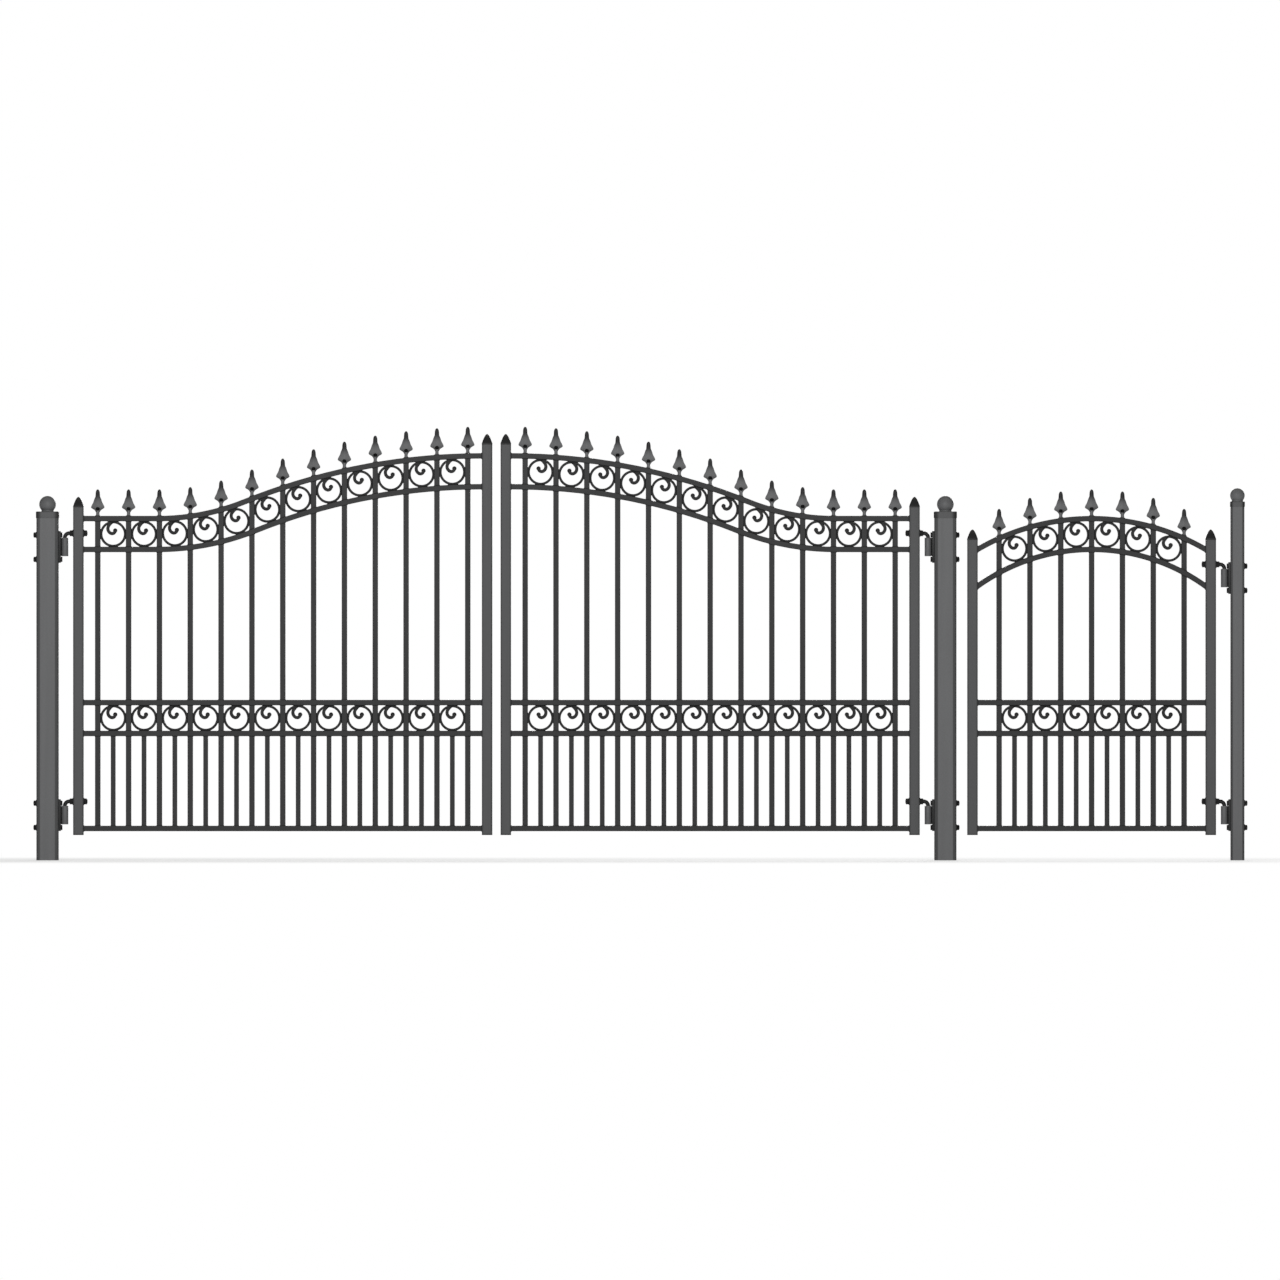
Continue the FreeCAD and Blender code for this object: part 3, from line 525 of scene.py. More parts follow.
def nut(piece, flats, bore, near, far, z):
    """Hexagonal nut between two x places, with both ends turned down to a round shoulder."""
    side = math.copysign(1, far - near)
    rings = [upright_ring(bore, near, z), upright_ring(bore, far, z)]
    for inset, share in NUT_SHOULDER:
        rings.append(hexagon_ring(flats, share * flats, far - side * inset * MM, z))
    for inset, share in reversed(NUT_SHOULDER):
        rings.append(hexagon_ring(flats, share * flats, near + side * inset * MM, z))
    piece.loft(rings, looped=True)


def washer(piece, radius, bore, near, far, z):
    """Washer between two x places, with its outer edges eased."""
    edge = math.copysign(WASHER_EDGE, far - near)
    rings = [
        upright_ring(bore, near, z),
        upright_ring(bore, far, z),
        upright_ring(radius - abs(edge), far, z),
        upright_ring(radius, far - edge, z),
        upright_ring(radius, near + edge, z),
        upright_ring(radius - abs(edge), near, z),
    ]
    piece.loft(rings, looped=True)


def threaded_rings(radius, pitch, start, end, z):
    """Sections of a screw thread along X, eased to a chamfer at the end."""
    steps = math.ceil(abs(end - start) / (pitch / 8))
    rings = []
    for step in range(steps + 1):
        x = start + (end - start) * step / steps
        depth = 0.3 * pitch
        chamfer = max(0, pitch - abs(end - x)) * 0.6
        ring = []
        for turn in range(TURNED_SIDES):
            angle = 2 * math.pi * turn / TURNED_SIDES
            phase = (x / pitch + turn / TURNED_SIDES) % 1
            groove = depth * (1 - abs(2 * phase - 1))
            reach = min(radius - groove, radius - chamfer)
            ring.append((x, reach * math.cos(angle), z + reach * math.sin(angle)))
        rings.append(ring)
    return rings


def hinge_rod(piece, axis_x, low, high):
    """J-bolt: a pin in the barrel, a bend, and a level leg whose far end is threaded."""
    side = 1 if high.x - axis_x > axis_x - low.x else -1
    leg_end = high.x if side == 1 else low.x
    rod_z = high.z - ROD_RADIUS
    edge = 1 * MM
    rings = []
    for z, radius in ((low.z, ROD_RADIUS - edge), (low.z + edge, ROD_RADIUS)):
        rings.append([(axis_x + side * u, v, z) for u, v in circle_outline(radius, TURNED_SIDES)])
    steps = 12
    for step in range(steps + 1):
        angle = math.radians(90 * step / steps)
        ring = []
        for u, v in circle_outline(ROD_RADIUS, TURNED_SIDES):
            reach = ROD_BEND - u
            x = axis_x + side * (ROD_BEND - reach * math.cos(angle))
            ring.append((x, v, rod_z - ROD_BEND + reach * math.sin(angle)))
        rings.append(ring)
    thread_start = leg_end - side * ROD_THREAD
    thread = threaded_rings(ROD_RADIUS, ROD_THREAD_PITCH, thread_start, leg_end, rod_z)
    for ring in thread:
        rings.append([leg_point(point, rod_z, index) for index, point in enumerate(ring)])
    piece.loft(rings)


def leg_point(point, rod_z, index):
    """Point of a leg's section, set where the bend's section has the same point of the outline."""
    radius = math.hypot(point[1], point[2] - rod_z)
    angle = 2 * math.pi * index / TURNED_SIDES
    return (point[0], radius * math.sin(angle), rod_z - radius * math.cos(angle))


def rod_nut_set(piece, low, high, stile_x):
    """Washer against the stile and nut behind it, in the place of one CAD nut and washer."""
    z = (low.z + high.z) / 2
    at_stile, outside = sorted((low.x, high.x), key=lambda x: abs(x - stile_x))
    seam = at_stile + math.copysign(ROD_WASHER, outside - at_stile)
    washer(piece, ROD_WASHER_RADIUS, ROD_RADIUS, at_stile, seam, z)
    nut(piece, ROD_NUT_FLATS, ROD_RADIUS, seam, outside, z)


def post_bolt(piece, low, high, side):
    """Hexagon bolt whose head is on the leaf's side of the post and whose far end is threaded."""
    z = (low.z + high.z) / 2
    head_face, tip = (high.x, low.x) if side == 1 else (low.x, high.x)
    seat = head_face - side * BOLT_HEAD
    rings = []
    for inset, share in BOLT_CROWN:
        rings.append(hexagon_ring(BOLT_FLATS, share * BOLT_FLATS, head_face - side * inset * MM, z))
    rings.append(hexagon_ring(BOLT_FLATS, BOLT_FLATS, seat, z))
    rings.append(upright_ring(BOLT_RADIUS, seat, z))
    rings += threaded_rings(BOLT_RADIUS, BOLT_THREAD_PITCH, tip + side * BOLT_THREAD, tip, z)
    piece.loft(rings)


def hinge_bracket(piece, post, low, high, pin_foot, axis_x):
    """Bolted plate with eased edges, a bored barrel on a web, and the welds between them."""
    side = HINGE_SIDE[post]
    face_x = low.x if side == 1 else high.x
    barrel_top = pin_foot + BARREL_LENGTH
    bracket_plate(piece, face_x, side, low, high)
    bracket_barrel(piece, axis_x, pin_foot, barrel_top)
    bracket_web(piece, face_x, axis_x, side, pin_foot + 1 * MM, barrel_top - 1 * MM)
    plate_weld = (face_x + side * (PLATE_THICKNESS + 0.6 * MM), 3 * MM)
    barrel_weld = (axis_x - side * (BARREL_RADIUS - 2.4 * MM), 2.4 * MM)
    for weld_y in (-WEB_WIDTH / 2, WEB_WIDTH / 2):
        for weld_x, radius in (plate_weld, barrel_weld):
            upright_bead(piece, weld_x, weld_y, pin_foot + 3 * MM, barrel_top - 3 * MM, radius)


def bracket_plate(piece, face_x, side, low, high):
    """Plate on a post's face, with round corners and eased edges."""
    half_height = (high.z - low.z) / 2
    middle_z = (high.z + low.z) / 2
    half_width = (high.y - low.y) / 2
    rings = []
    for along, inset in PLATE_EDGE:
        outline = rounded_outline(half_width - inset * MM, half_height - inset * MM, PLATE_CORNER, 6)
        rings.append([(face_x + side * along * MM, u, middle_z + v) for u, v in outline])
    piece.loft(rings)


def bracket_barrel(piece, axis_x, foot, top):
    """Upright tube that the rod's pin turns in."""
    bore = ROD_RADIUS + BEARING_CLEARANCE
    profile = [(bore, foot)]
    profile += [(BARREL_RADIUS - inset * MM, foot + along * MM) for inset, along in BARREL_EDGE]
    profile += [(BARREL_RADIUS - inset * MM, top - along * MM) for inset, along in reversed(BARREL_EDGE)]
    profile.append((bore, top))
    rings = [level_ring(circle_outline(radius, TURNED_SIDES), axis_x, z) for radius, z in profile]
    piece.loft(rings, looped=True, finish=1)


def bracket_web(piece, face_x, axis_x, side, foot, top):
    """Upright bar from inside the plate to inside the barrel's wall."""
    start = face_x + side * 0.9 * PLATE_THICKNESS
    end = axis_x - side * (BARREL_RADIUS - 3 * MM)
    outline = rounded_outline(abs(end - start) / 2, WEB_WIDTH / 2, 0.5 * MM, 2)
    piece.loft([level_ring(outline, (start + end) / 2, z) for z in (foot, top)])


# ---- Welds ----

WELDER = random.Random(11)
BEAD_RIPPLE = 3.2 * MM
PICKET_BEAD = 2.2 * MM                  # radii of the beads
NECK_BEAD = 2 * MM
DOG_BAR_BEAD = 2 * MM
RAIL_END_BEAD = 2.6 * MM
CONTACT_WELD = 24 * MM                  # half length, half thickness and half depth of a contact weld
TOP_CONTACT_WELD = 27 * MM
CONTACT_THICKNESS = 3.2 * MM
CONTACT_DEPTH = 7.2 * MM


def bead_radius(radius, distance):
    """Radius of a bead with its ripples and a little unevenness."""
    ripple = 0.10 * math.sin(2 * math.pi * distance / BEAD_RIPPLE)
    return radius * (1 + ripple + WELDER.uniform(-0.05, 0.05))


def upright_bead(piece, x, y, foot, head, radius):
    """Upright bead that tapers off at both ends."""
    steps = round((head - foot) / (BEAD_RIPPLE / 4))
    rings = []
    for step in range(steps + 1):
        z = foot + (head - foot) * step / steps
        taper = min(1, 0.35 + 0.22 * min(step, steps - step))
        reach = bead_radius(radius, z - foot) * taper
        rings.append([(x + u, y + v, z) for u, v in circle_outline(reach, 10)])
    piece.loft(rings)


def bead_loop(piece, path, normal, radius):
    """Bead round a closed path; normal is the direction that the path goes round."""
    points = evenly_spaced(path, BEAD_RIPPLE / 3)
    up = Vector(normal)
    spacing = (points[1] - points[0]).length
    rings = []
    for index, point in enumerate(points):
        tangent = (points[(index + 1) % len(points)] - points[index - 1]).normalized()
        sideways = tangent.cross(up).normalized()
        rise = sideways.cross(tangent)
        reach = bead_radius(radius, index * spacing)
        rings.append([point + u * sideways + v * rise for u, v in circle_outline(reach, 8)])
    piece.loft(rings, looped=True)


def bead_round_bar(piece, tree, x, side, above, radius):
    """Bead round a square bar where it meets the upper or lower face of a rail."""
    half = side / 2
    height = height_above if above else height_below
    probe_y = half + 4 * MM
    left_z = height(tree, x - half, probe_y)
    right_z = height(tree, x + half, probe_y)
    path = []
    for u, v in rounded_outline(half, half, PICKET_CORNER, 2):
        share = (u + half) / side
        path.append((x + u, v, left_z + (right_z - left_z) * share))
    bead_loop(piece, path, (0, 0, 1), radius)


def bead_round_neck(piece, tree, x, radius):
    """Bead where a spear's round foot stands on the top rail."""
    reach = SPEAR_FOOT
    probe_y = RAIL_DEPTH / 2 - RAIL_CORNER - 1 * MM
    left_z = height_above(tree, x - reach, probe_y)
    right_z = height_above(tree, x + reach, probe_y)
    path = []
    for u, v in circle_outline(reach, CASTING_SIDES):
        share = (u + reach) / (2 * reach)
        path.append((x + u, v, left_z + (right_z - left_z) * share))
    bead_loop(piece, path, (0, 0, 1), radius)


def bead_round_rail_end(piece, tree, stile_face, inwards, radius):
    """Bead round the end of a rail on the face of a stile."""
    probe_x = stile_face + inwards * 1 * MM
    top = height_above(tree, probe_x, 0)
    foot = height_below(tree, probe_x, 0)
    outline = rounded_outline(RAIL_DEPTH / 2, (top - foot) / 2, RAIL_CORNER, 2)
    path = [(stile_face + inwards * 0.4 * MM, u, (top + foot) / 2 + v) for u, v in outline]
    bead_loop(piece, path, (1, 0, 0), radius)


def contact_weld(piece, x, z, angle, length):
    """Weld along the flat where a ring touches a bar; angle points from the ring outwards."""
    outwards = Vector((math.cos(angle), 0, math.sin(angle)))
    along = Vector((-math.sin(angle), 0, math.cos(angle)))
    centre = Vector((x, 0, z))
    length *= WELDER.uniform(0.93, 1.07)
    thickness = CONTACT_THICKNESS * WELDER.uniform(0.9, 1.1)
    rings = []
    for step in range(13):
        share = math.sin(math.pi * (step / 12 - 0.5)) * 0.995
        size = math.sqrt(1 - share ** 2)
        middle = centre + along * length * share
        ring = []
        for u, v in circle_outline(1, 12):
            depth = math.copysign(abs(v) ** 0.7, v) * CONTACT_DEPTH * size
            ring.append(middle + outwards * u * thickness * size + Vector((0, depth, 0)))
        rings.append(ring)
    piece.loft(rings, finish=1)


def scroll_welds(piece, leaf, band):
    """Four contact welds round every scroll: against both neighbouring pickets and both rails."""
    for x, z, flat, slope in scroll_places(leaf, band):
        contacts = (
            (0, CONTACT_WELD),
            (math.pi, CONTACT_WELD),
            (slope + math.pi / 2, TOP_CONTACT_WELD),
            (slope - math.pi / 2, CONTACT_WELD),
        )
        for angle, length in contacts:
            weld_x = x + flat * math.cos(angle)
            weld_z = z + flat * math.sin(angle)
            contact_weld(piece, weld_x, weld_z, angle, length)


DOG_BAR_ENDS = (("bottom_rail", True), ("lower_waist_rail", False))    # each rail, and whether above it
CROSSINGS = DOG_BAR_ENDS + (
    ("lower_waist_rail", True), ("upper_waist_rail", False), ("upper_waist_rail", True),
    ("second_rail", False), ("second_rail", True), ("top_rail", False),
)


def leaf_welds(leaf):
    """Every weld of one leaf's frame."""
    piece = Piece()
    trees = {rail: surface(f"{leaf}_{rail}") for rail in RAILS}
    for low, high in solid_boxes(f"{leaf}_pickets"):
        for rail, above in CROSSINGS:
            bead_round_bar(piece, trees[rail], (low.x + high.x) / 2, PICKET_SIDE, above, PICKET_BEAD)
        bead_round_neck(piece, trees["top_rail"], (low.x + high.x) / 2, NECK_BEAD)
    for low, high in solid_boxes(f"{leaf}_dog_bars"):
        for rail, above in DOG_BAR_ENDS:
            bead_round_bar(piece, trees[rail], (low.x + high.x) / 2, DOG_BAR_SIDE, above, DOG_BAR_BEAD)
    for rail, tree in trees.items():
        low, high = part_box(f"{leaf}_{rail}")
        bead_round_rail_end(piece, tree, low.x, 1, RAIL_END_BEAD)
        bead_round_rail_end(piece, tree, high.x, -1, RAIL_END_BEAD)
    for band in SCROLL_BANDS:
        scroll_welds(piece, leaf, band)
    return piece


# ---- Materials ----


class Finish:
    """Node material under construction, with short names for the nodes that all finishes use."""

    def __init__(self, name):
        self.material = bpy.data.materials.new(name)
        self.material.use_nodes = True
        self.tree = self.material.node_tree
        self.shader = self.tree.nodes["Principled BSDF"]
        self.place = self.node("ShaderNodeTexCoord")

    def node(self, kind, settings=None, inputs=None):
        """New node with its settings and its named inputs."""
        node = self.tree.nodes.new(kind)
        for name, value in (settings or {}).items():
            setattr(node, name, value)
        for name, value in (inputs or {}).items():
            self.feed(node.inputs[name], value)
        return node

    def feed(self, socket, value):
        """Links a socket into an input, or sets the input to a value."""
        if isinstance(value, bpy.types.NodeSocket):
            self.tree.links.new(value, socket)
        else:
            socket.default_value = value

    def stretched(self, stretch):
        """Place in the piece's own space, multiplied along each axis."""
        inputs = {"Vector": self.place.outputs["Object"], "Scale": stretch}
        return self.node("ShaderNodeMapping", inputs=inputs).outputs["Vector"]

    def noise(self, scale, detail=2.0, stretch=(1, 1, 1)):
        """Noise in the piece's own space, from 0 to 1, with about scale waves to the metre."""
        inputs = {"Vector": self.stretched(stretch), "Scale": scale, "Detail": detail}
        return self.node("ShaderNodeTexNoise", inputs=inputs).outputs["Fac"]

    def maths(self, operation, first, second=0.0):
        """Result of a sum, a product and the like, of two sockets or numbers."""
        node = self.node("ShaderNodeMath", {"operation": operation})
        self.feed(node.inputs[0], first)
        self.feed(node.inputs[1], second)
        return node.outputs[0]

    def spread(self, value, low, high, to_low, to_high, smooth=False):
        """Value moved from one range to another, and held at its ends."""
        kind = "SMOOTHSTEP" if smooth else "LINEAR"
        inputs = {"Value": value, "From Min": low, "From Max": high, "To Min": to_low, "To Max": to_high}
        return self.node("ShaderNodeMapRange", {"interpolation_type": kind}, inputs).outputs["Result"]

    def blend(self, factor, first, second):
        """Colour between two colours."""
        node = self.node("ShaderNodeMix", {"data_type": "RGBA"})
        self.feed(node.inputs["Factor"], factor)
        for index, colour in ((6, first), (7, second)):
            is_colour = isinstance(colour, tuple) and len(colour) == 3
            self.feed(node.inputs[index], (*colour, 1) if is_colour else colour)
        return node.outputs[2]


DUST_COLOUR = (0.24, 0.225, 0.2)


def shade_of(tone, factor):
    """A tone of the coating: near neutral, very slightly cool."""
    return (tone * factor * 0.99, tone * factor, tone * factor * 1.02)


def mottled(finish, uneven, tone):
    """Colour that drifts between a darker and a lighter shade of a tone."""
    return finish.blend(uneven, shade_of(tone, 0.88), shade_of(tone, 1.14))


def unevenness(finish, clouds):
    """Sum of broad clouds, faint upright runs and fine speckle."""
    runs = finish.noise(45.0, 2, (1, 1, 0.03))
    speckle = finish.noise(900.0, 1)
    broad = finish.spread(clouds, 0.3, 0.7, 0.0, 0.5)
    upright = finish.spread(runs, 0.3, 0.7, 0.0, 0.3)
    fine = finish.spread(speckle, 0.25, 0.75, 0.0, 0.08)
    return finish.maths("ADD", finish.maths("ADD", broad, upright), fine)


def settled_dust(finish, dusty):
    """Share of dust, which lies in patches on the faces that look upwards."""
    normal = finish.node("ShaderNodeNewGeometry").outputs["Normal"]
    upwards = finish.node("ShaderNodeSeparateXYZ", inputs={"Vector": normal}).outputs["Z"]
    patchy = finish.spread(finish.noise(60.0, 4), 0.35, 0.75, 0.0, 0.35 * dusty)
    return finish.maths("MULTIPLY", finish.spread(upwards, 0.4, 1.0, 0.0, 1.0), patchy)


def coating(name, tone, roughness=0.46, peel=0.10, sheen=0.11, edges=0.0, band=(0.30, 0.46), dusty=1.0):
    """Powder coat: clouded and speckled in tone, with faint runs, settled dust and an orange-peel skin.

    tone is one tone, or the two that a mesh's own tone attribute runs between, which on the spears paints
    light and shade on the blade. edges paints shade: it darkens the corners of a single upright tube over a
    band given as shares of its side from its middle, and dusty is how much dust lies on its upper faces.
    """
    finish = Finish(name)
    clouds = finish.noise(3.0, 3)
    uneven = unevenness(finish, clouds)
    # Painted light: the tone attribute blends from a dark shade to a painted highlight, which the spear
    # blades use.
    if isinstance(tone, tuple):
        own = finish.node("ShaderNodeAttribute", {"attribute_name": "tone"}).outputs["Fac"]
        colour = finish.blend(own, mottled(finish, uneven, tone[0]), mottled(finish, uneven, tone[1]))
    else:
        colour = mottled(finish, uneven, tone)
    # Painted shade: darkens the tube's corners, standing in for the shade that falls on its rounded corners.
    if edges:
        colour = finish.blend(painted_corner_shade_mask(finish, band), colour, shade_of(tone, 1 - edges))
    dust = settled_dust(finish, dusty)
    colour = finish.blend(dust, colour, DUST_COLOUR)
    finish.feed(finish.shader.inputs["Base Color"], colour)
    finish.shader.inputs["Specular IOR Level"].default_value = sheen
    gloss = finish.spread(clouds, 0.3, 0.7, roughness - 0.05, roughness + 0.06)
    gloss = finish.maths("ADD", gloss, finish.maths("MULTIPLY", dust, 0.5))
    finish.feed(finish.shader.inputs["Roughness"], gloss)
    bump_inputs = {"Height": finish.noise(380.0, 2), "Strength": peel * 4, "Distance": 0.3 * MM}
    bump = finish.node("ShaderNodeBump", inputs=bump_inputs)
    finish.feed(finish.shader.inputs["Normal"], bump.outputs["Normal"])
    return finish.material


def painted_corner_shade_mask(finish, band):
    """Painted shade mask: 1 along the four corners of an upright square tube that fills its own box, where
    the coat is darkened to paint shade, and 0 on its flats.
    """
    across = finish.node("ShaderNodeSeparateXYZ", inputs={"Vector": finish.place.outputs["Generated"]})
    sides = []
    for axis in ("X", "Y"):
        offset = finish.maths("SUBTRACT", across.outputs[axis], 0.5)
        sides.append(finish.maths("ABSOLUTE", offset))
    return finish.spread(finish.maths("MINIMUM", sides[0], sides[1]), *band, 0.0, 1.0, smooth=True)


# These coats are copies of one black powder coat at different brightnesses, set to match how light fell on
# each member: the lighter posts, stiles, balls and barrels carry painted light, and edges paints shade on the
# corners of the posts, stiles and cap flanges.
POST_COAT = coating("post_powder_coat", 0.087, edges=0.60, band=(0.31, 0.37))
BALL_COAT = coating("ball_powder_coat", 0.085)
FLANGE_COAT = coating("cap_flange_coat", 0.058, edges=0.93, band=(0.24, 0.42))
STILE_COAT = coating("stile_powder_coat", 0.056, edges=0.42)
BAR_COAT = coating("bar_powder_coat", 0.0195)
CAP_DARK_COAT = coating("stile_cap_coat", 0.009, roughness=0.5, sheen=0.15)
# Painted highlight: the blade's tone attribute lightens it from 0.018 to 0.095 where its broad faces catch
# the light.
SPEAR_COAT = coating("spear_casting", (0.018, 0.095), roughness=0.5, peel=0.2)
KNOB_COAT = coating("spear_knob_casting", 0.004, roughness=0.7, peel=0.2, sheen=0.05, dusty=0.2)
NECK_COAT = coating("spear_neck_casting", 0.105, roughness=0.5, peel=0.2)
SCROLL_COAT = coating("scroll_casting", 0.008, roughness=0.55, peel=0.2, sheen=0.15, dusty=0.2)
WELD_COAT = coating("contact_weld_coat", 0.004, roughness=0.7, peel=0.2, sheen=0.05, dusty=0.2)
HINGE_COAT = coating("hinge_black", 0.008, roughness=0.45, peel=0.15, sheen=0.15)
BARREL_COAT = coating("hinge_barrel_coat", 0.085, roughness=0.42, peel=0.12)
PLUG_COAT = coating("plug_plastic", 0.010, roughness=0.6, peel=0.05)


# ---- The pieces ----


def coat_node(node, material):
    """Gives a carried-over CAD node its finish."""
    piece = frame["nodes"][node]
    for holder in piece.material_slots:
        holder.material = material


def finish_frame():
    """Coatings of every node that keeps its CAD shape."""
    for post in POSTS:
        coat_node(f"{post}_post", POST_COAT)
    for leaf in LEAVES:
        second_stile = "latch_stile" if leaf == "walk" else "meeting_stile"
        for stile in ("hinge_stile", second_stile):
            coat_node(f"{leaf}_{stile}", STILE_COAT)
        for bars in RAILS + ("pickets", "dog_bars"):
            coat_node(f"{leaf}_{bars}", BAR_COAT)
        coat_node(f"{leaf}_stile_plugs", PLUG_COAT)


def add_castings(leaf, spear):
    """Spears, scrolls and stile caps of one leaf."""
    body = f"{leaf}_leaf"
    spears = Piece()
    for low, high in solid_boxes(f"{leaf}_spearheads"):
        spears.place(spear, (low.x + high.x) / 2, high.z)
    spear_finishes = [SPEAR_COAT, KNOB_COAT, NECK_COAT]
    spears.build(f"{leaf}_spear_castings", body, "cast_ornament", spear_finishes, [f"{leaf}_spearheads"])
    for band in SCROLL_BANDS:
        turned = leaf in TURNED_LEAVES
        rings = Piece()
        for x, z, flat, slope in scroll_places(leaf, band):
            rings.place(scroll(flat, -slope if turned else slope), x, z, turned)
        rings.build(f"{leaf}_{band[:-1]}_castings", body, "cast_ornament", [SCROLL_COAT], [f"{leaf}_{band}"])
    caps = Piece()
    for low, high in solid_boxes(f"{leaf}_stile_caps"):
        stile_cap(caps, low, high)
    caps.build(f"{leaf}_stile_points", body, "bar_coating", [CAP_DARK_COAT], [f"{leaf}_stile_caps"])


def add_leaf_hardware(leaf):
    """Hinge rods with their nuts, and the welds of one leaf."""
    body = f"{leaf}_leaf"
    rods = Piece()
    for low, high in solid_boxes(f"{leaf}_hinge_rods"):
        hinge_rod(rods, hinge_axis_x(leaf), low, high)
    rods.build(f"{leaf}_j_bolts", body, "hinge_hardware", [HINGE_COAT], [f"{leaf}_hinge_rods"])
    stile_low, stile_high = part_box(f"{leaf}_hinge_stile")
    nuts = Piece()
    for low, high in solid_boxes(f"{leaf}_rod_nuts"):
        rod_nut_set(nuts, low, high, (stile_low.x + stile_high.x) / 2)
    nuts.build(f"{leaf}_j_bolt_nuts", body, "hinge_hardware", [HINGE_COAT], [f"{leaf}_rod_nuts"])
    leaf_welds(leaf).build(f"{leaf}_welds", body, "bar_coating", [BAR_COAT, WELD_COAT])


def add_caps_and_brackets(post):
    """Cap and hinge brackets of one post."""
    leaf = CARRIED_LEAF[post]
    cap_finishes = [BALL_COAT, FLANGE_COAT]
    post_cap(post).build(f"{post}_ball_cap", "posts", "post_coating", cap_finishes, [f"{post}_post_cap"])
    brackets = Piece()
    rods = solid_boxes(f"{leaf}_hinge_rods")
    for (low, high), (rod_low, _) in zip(solid_boxes(f"{post}_hinge_brackets"), rods):
        hinge_bracket(brackets, post, low, high, rod_low.z, hinge_axis_x(leaf))
    finishes = [HINGE_COAT, BARREL_COAT]
    replaced = [f"{post}_hinge_brackets"]
    brackets.build(f"{post}_bracket_weldments", "posts", "hinge_hardware", finishes, replaced)


def add_post_fasteners():
    """Bolts, washers and nuts that hold the hinge brackets."""
    bolts = Piece()
    left_bolts_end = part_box("left_post")[1].x + 50 * MM
    for low, high in solid_boxes("post_bolts"):
        post_bolt(bolts, low, high, 1 if high.x < left_bolts_end else -1)
    bolts.build("plate_bolts", "posts", "hinge_hardware", [HINGE_COAT], ["post_bolts"])
    washers = Piece()
    for low, high in solid_boxes("post_washers"):
        washer(washers, POST_WASHER_RADIUS, BOLT_RADIUS, low.x, high.x, (low.z + high.z) / 2)
    washers.build("plate_bolt_washers", "posts", "hinge_hardware", [HINGE_COAT], ["post_washers"])
    nuts = Piece()
    for low, high in solid_boxes("post_nuts"):
        nut(nuts, BOLT_FLATS, BOLT_RADIUS, low.x, high.x, (low.z + high.z) / 2)
    nuts.build("plate_bolt_nuts", "posts", "hinge_hardware", [HINGE_COAT], ["post_nuts"])


# ---- Studio ----

VIEW_WIDTH = 5.888                      # metres across the picture in the plane of the leaves
VIEW_CENTRE = (-0.002, 1.013)           # x and z at the middle of the picture
LENS = 1000.0
SENSOR = 36.0
CLIP_END = 600
AMBIENT = 0.10
FLOOR_REACH = 250
FLOOR_Z = -0.0004                       # a hair below the posts' feet
FLOOR_FADE = (0.6, 2.8)                 # metres from the gate line over which the floor turns white
FLOOR_STRETCH = (0.2, 1, 1)             # the fade reaches five times as far along the gate line


def add_camera():
    """Level camera far in front of the gate, looking straight at it."""
    data = bpy.data.cameras.new("front_camera")
    data.lens = LENS
    data.sensor_width = SENSOR
    data.clip_end = CLIP_END
    camera = bpy.data.objects.new("front_camera", data)
    camera.location = (VIEW_CENTRE[0], -VIEW_WIDTH * LENS / SENSOR, VIEW_CENTRE[1])
    camera.rotation_euler = (math.pi / 2, 0, 0)
    bpy.context.scene.collection.objects.link(camera)
    bpy.context.scene.camera = camera


def add_softbox(name, place, aim, size, power):
    """Rectangular light at a place, turned to face a point."""
    data = bpy.data.lights.new(name, "AREA")
    data.shape = "RECTANGLE"
    data.size, data.size_y = size
    data.energy = power
    light = bpy.data.objects.new(name, data)
    light.location = place
    light.rotation_euler = (Vector(aim) - Vector(place)).to_track_quat("-Z", "Y").to_euler()
    light.visible_camera = False
    bpy.context.scene.collection.objects.link(light)


def add_lights():
    """Two softboxes in front, one behind and one overhead."""
    add_softbox("key", (-3, -18, 5), (0, 0, 0.9), (6, 4), 2300)
    add_softbox("fill", (6, -16, 4), (0, 0, 0.9), (5, 4), 700)
    add_softbox("back", (3, 18, 5), (0, 0, 0.9), (8, 5), 2000)
    add_softbox("overhead", (0, 0, 11), (0, 0, 0), (12, 6), 220)


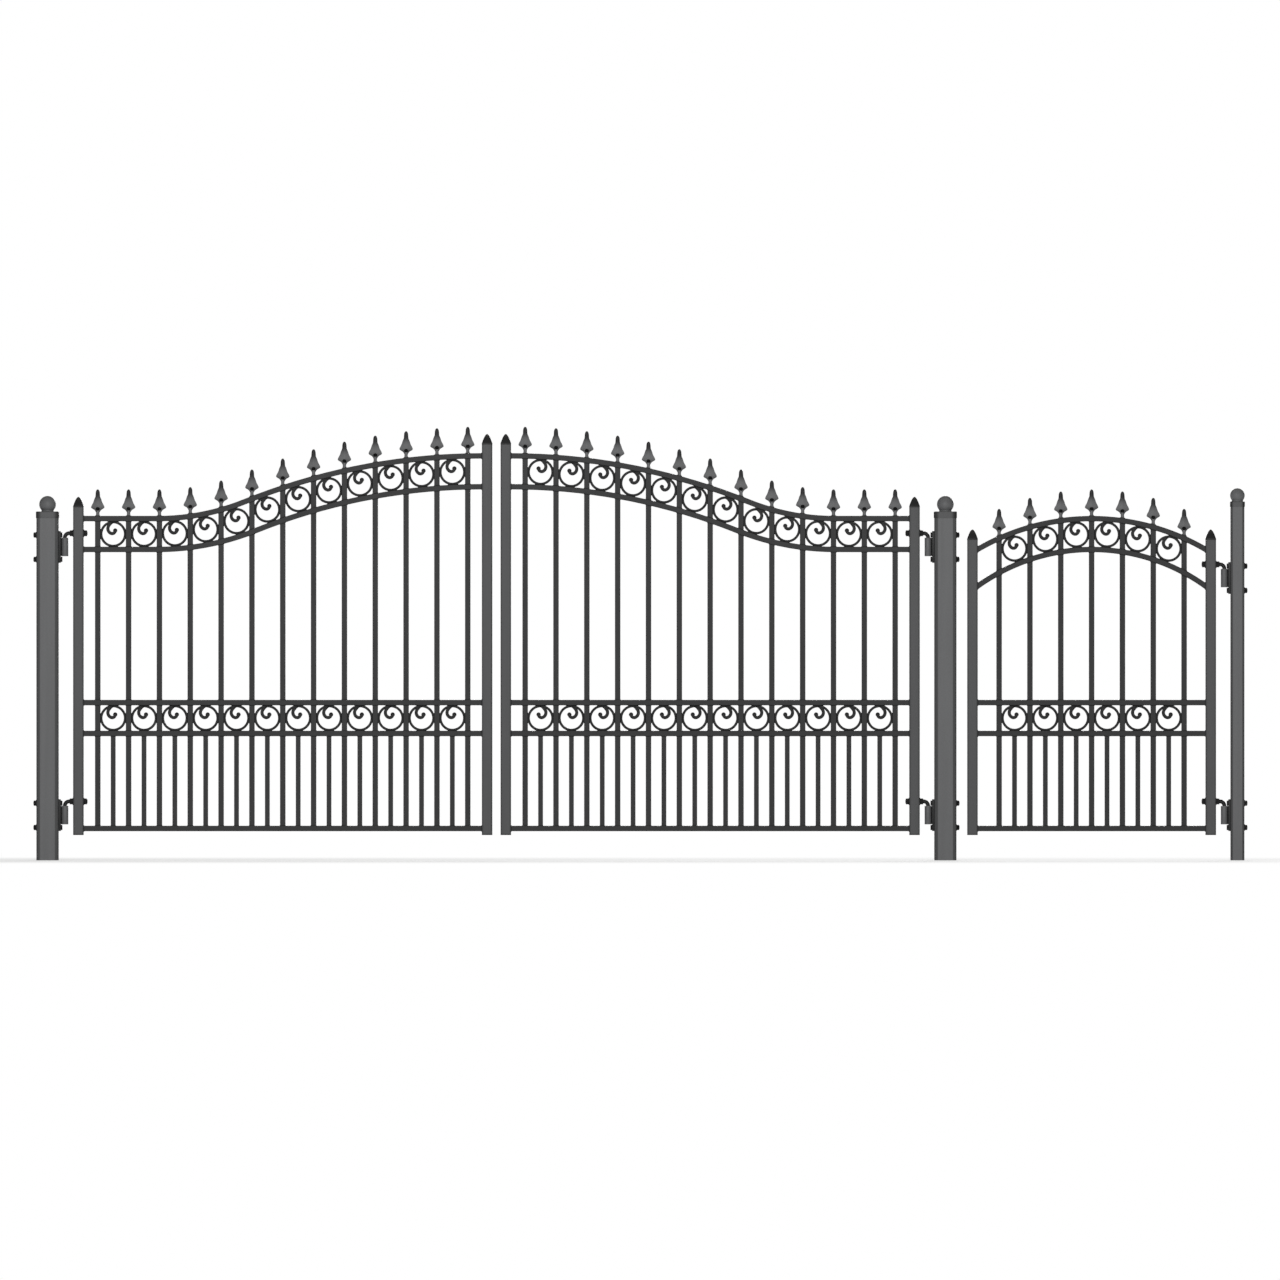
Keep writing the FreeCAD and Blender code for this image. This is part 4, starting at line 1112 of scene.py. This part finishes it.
def add_world():
    """White surroundings for the camera and a dimmer, even light for everything else."""
    world = bpy.data.worlds.new("studio")
    world.use_nodes = True
    bpy.context.scene.world = world
    nodes = world.node_tree.nodes
    links = world.node_tree.links
    ambient = nodes["Background"]
    ambient.inputs["Color"].default_value = (1, 1, 1, 1)
    ambient.inputs["Strength"].default_value = AMBIENT
    white = nodes.new("ShaderNodeBackground")
    white.inputs["Color"].default_value = (1, 1, 1, 1)
    rays = nodes.new("ShaderNodeLightPath")
    mix = nodes.new("ShaderNodeMixShader")
    links.new(rays.outputs["Is Camera Ray"], mix.inputs["Fac"])
    links.new(ambient.outputs["Background"], mix.inputs[1])
    links.new(white.outputs["Background"], mix.inputs[2])
    links.new(mix.outputs["Shader"], nodes["World Output"].inputs["Surface"])


def add_floor():
    """Pale floor that fades into the white surroundings away from the gate."""
    signs = ((-1, -1), (1, -1), (1, 1), (-1, 1))
    corners = [(FLOOR_REACH * x, FLOOR_REACH * y, FLOOR_Z) for x, y in signs]
    mesh = bpy.data.meshes.new("floor")
    mesh.from_pydata(corners, [], [(0, 1, 2, 3)])
    floor = bpy.data.objects.new("floor", mesh)
    bpy.context.scene.collection.objects.link(floor)
    mesh.materials.append(floor_material())


def floor_material():
    """Softly clouded pale grey near the gate and plain white away from it."""
    finish = Finish("pale_floor")
    colour = finish.blend(finish.noise(0.8, 3), (0.80, 0.80, 0.79), (0.84, 0.84, 0.83))
    finish.feed(finish.shader.inputs["Base Color"], colour)
    finish.shader.inputs["Roughness"].default_value = 0.8
    distance = finish.node("ShaderNodeVectorMath", {"operation": "LENGTH"})
    finish.feed(distance.inputs[0], finish.stretched(FLOOR_STRETCH))
    fade = finish.spread(distance.outputs["Value"], *FLOOR_FADE, 0.55, 1.0, smooth=True)
    white = finish.node("ShaderNodeEmission")
    mix = finish.node("ShaderNodeMixShader")
    finish.feed(mix.inputs["Fac"], fade)
    finish.feed(mix.inputs[1], finish.shader.outputs["BSDF"])
    finish.feed(mix.inputs[2], white.outputs["Emission"])
    finish.feed(finish.tree.nodes["Material Output"].inputs["Surface"], mix.outputs["Shader"])
    return finish.material


add_camera()
finish_frame()
SPEAR = spearhead()
for leaf_name in LEAVES:
    add_castings(leaf_name, SPEAR)
    add_leaf_hardware(leaf_name)
for post_name in POSTS:
    add_caps_and_brackets(post_name)
add_post_fasteners()
add_lights()
add_world()
add_floor()
bpy.context.scene.view_settings.view_transform = "Standard"
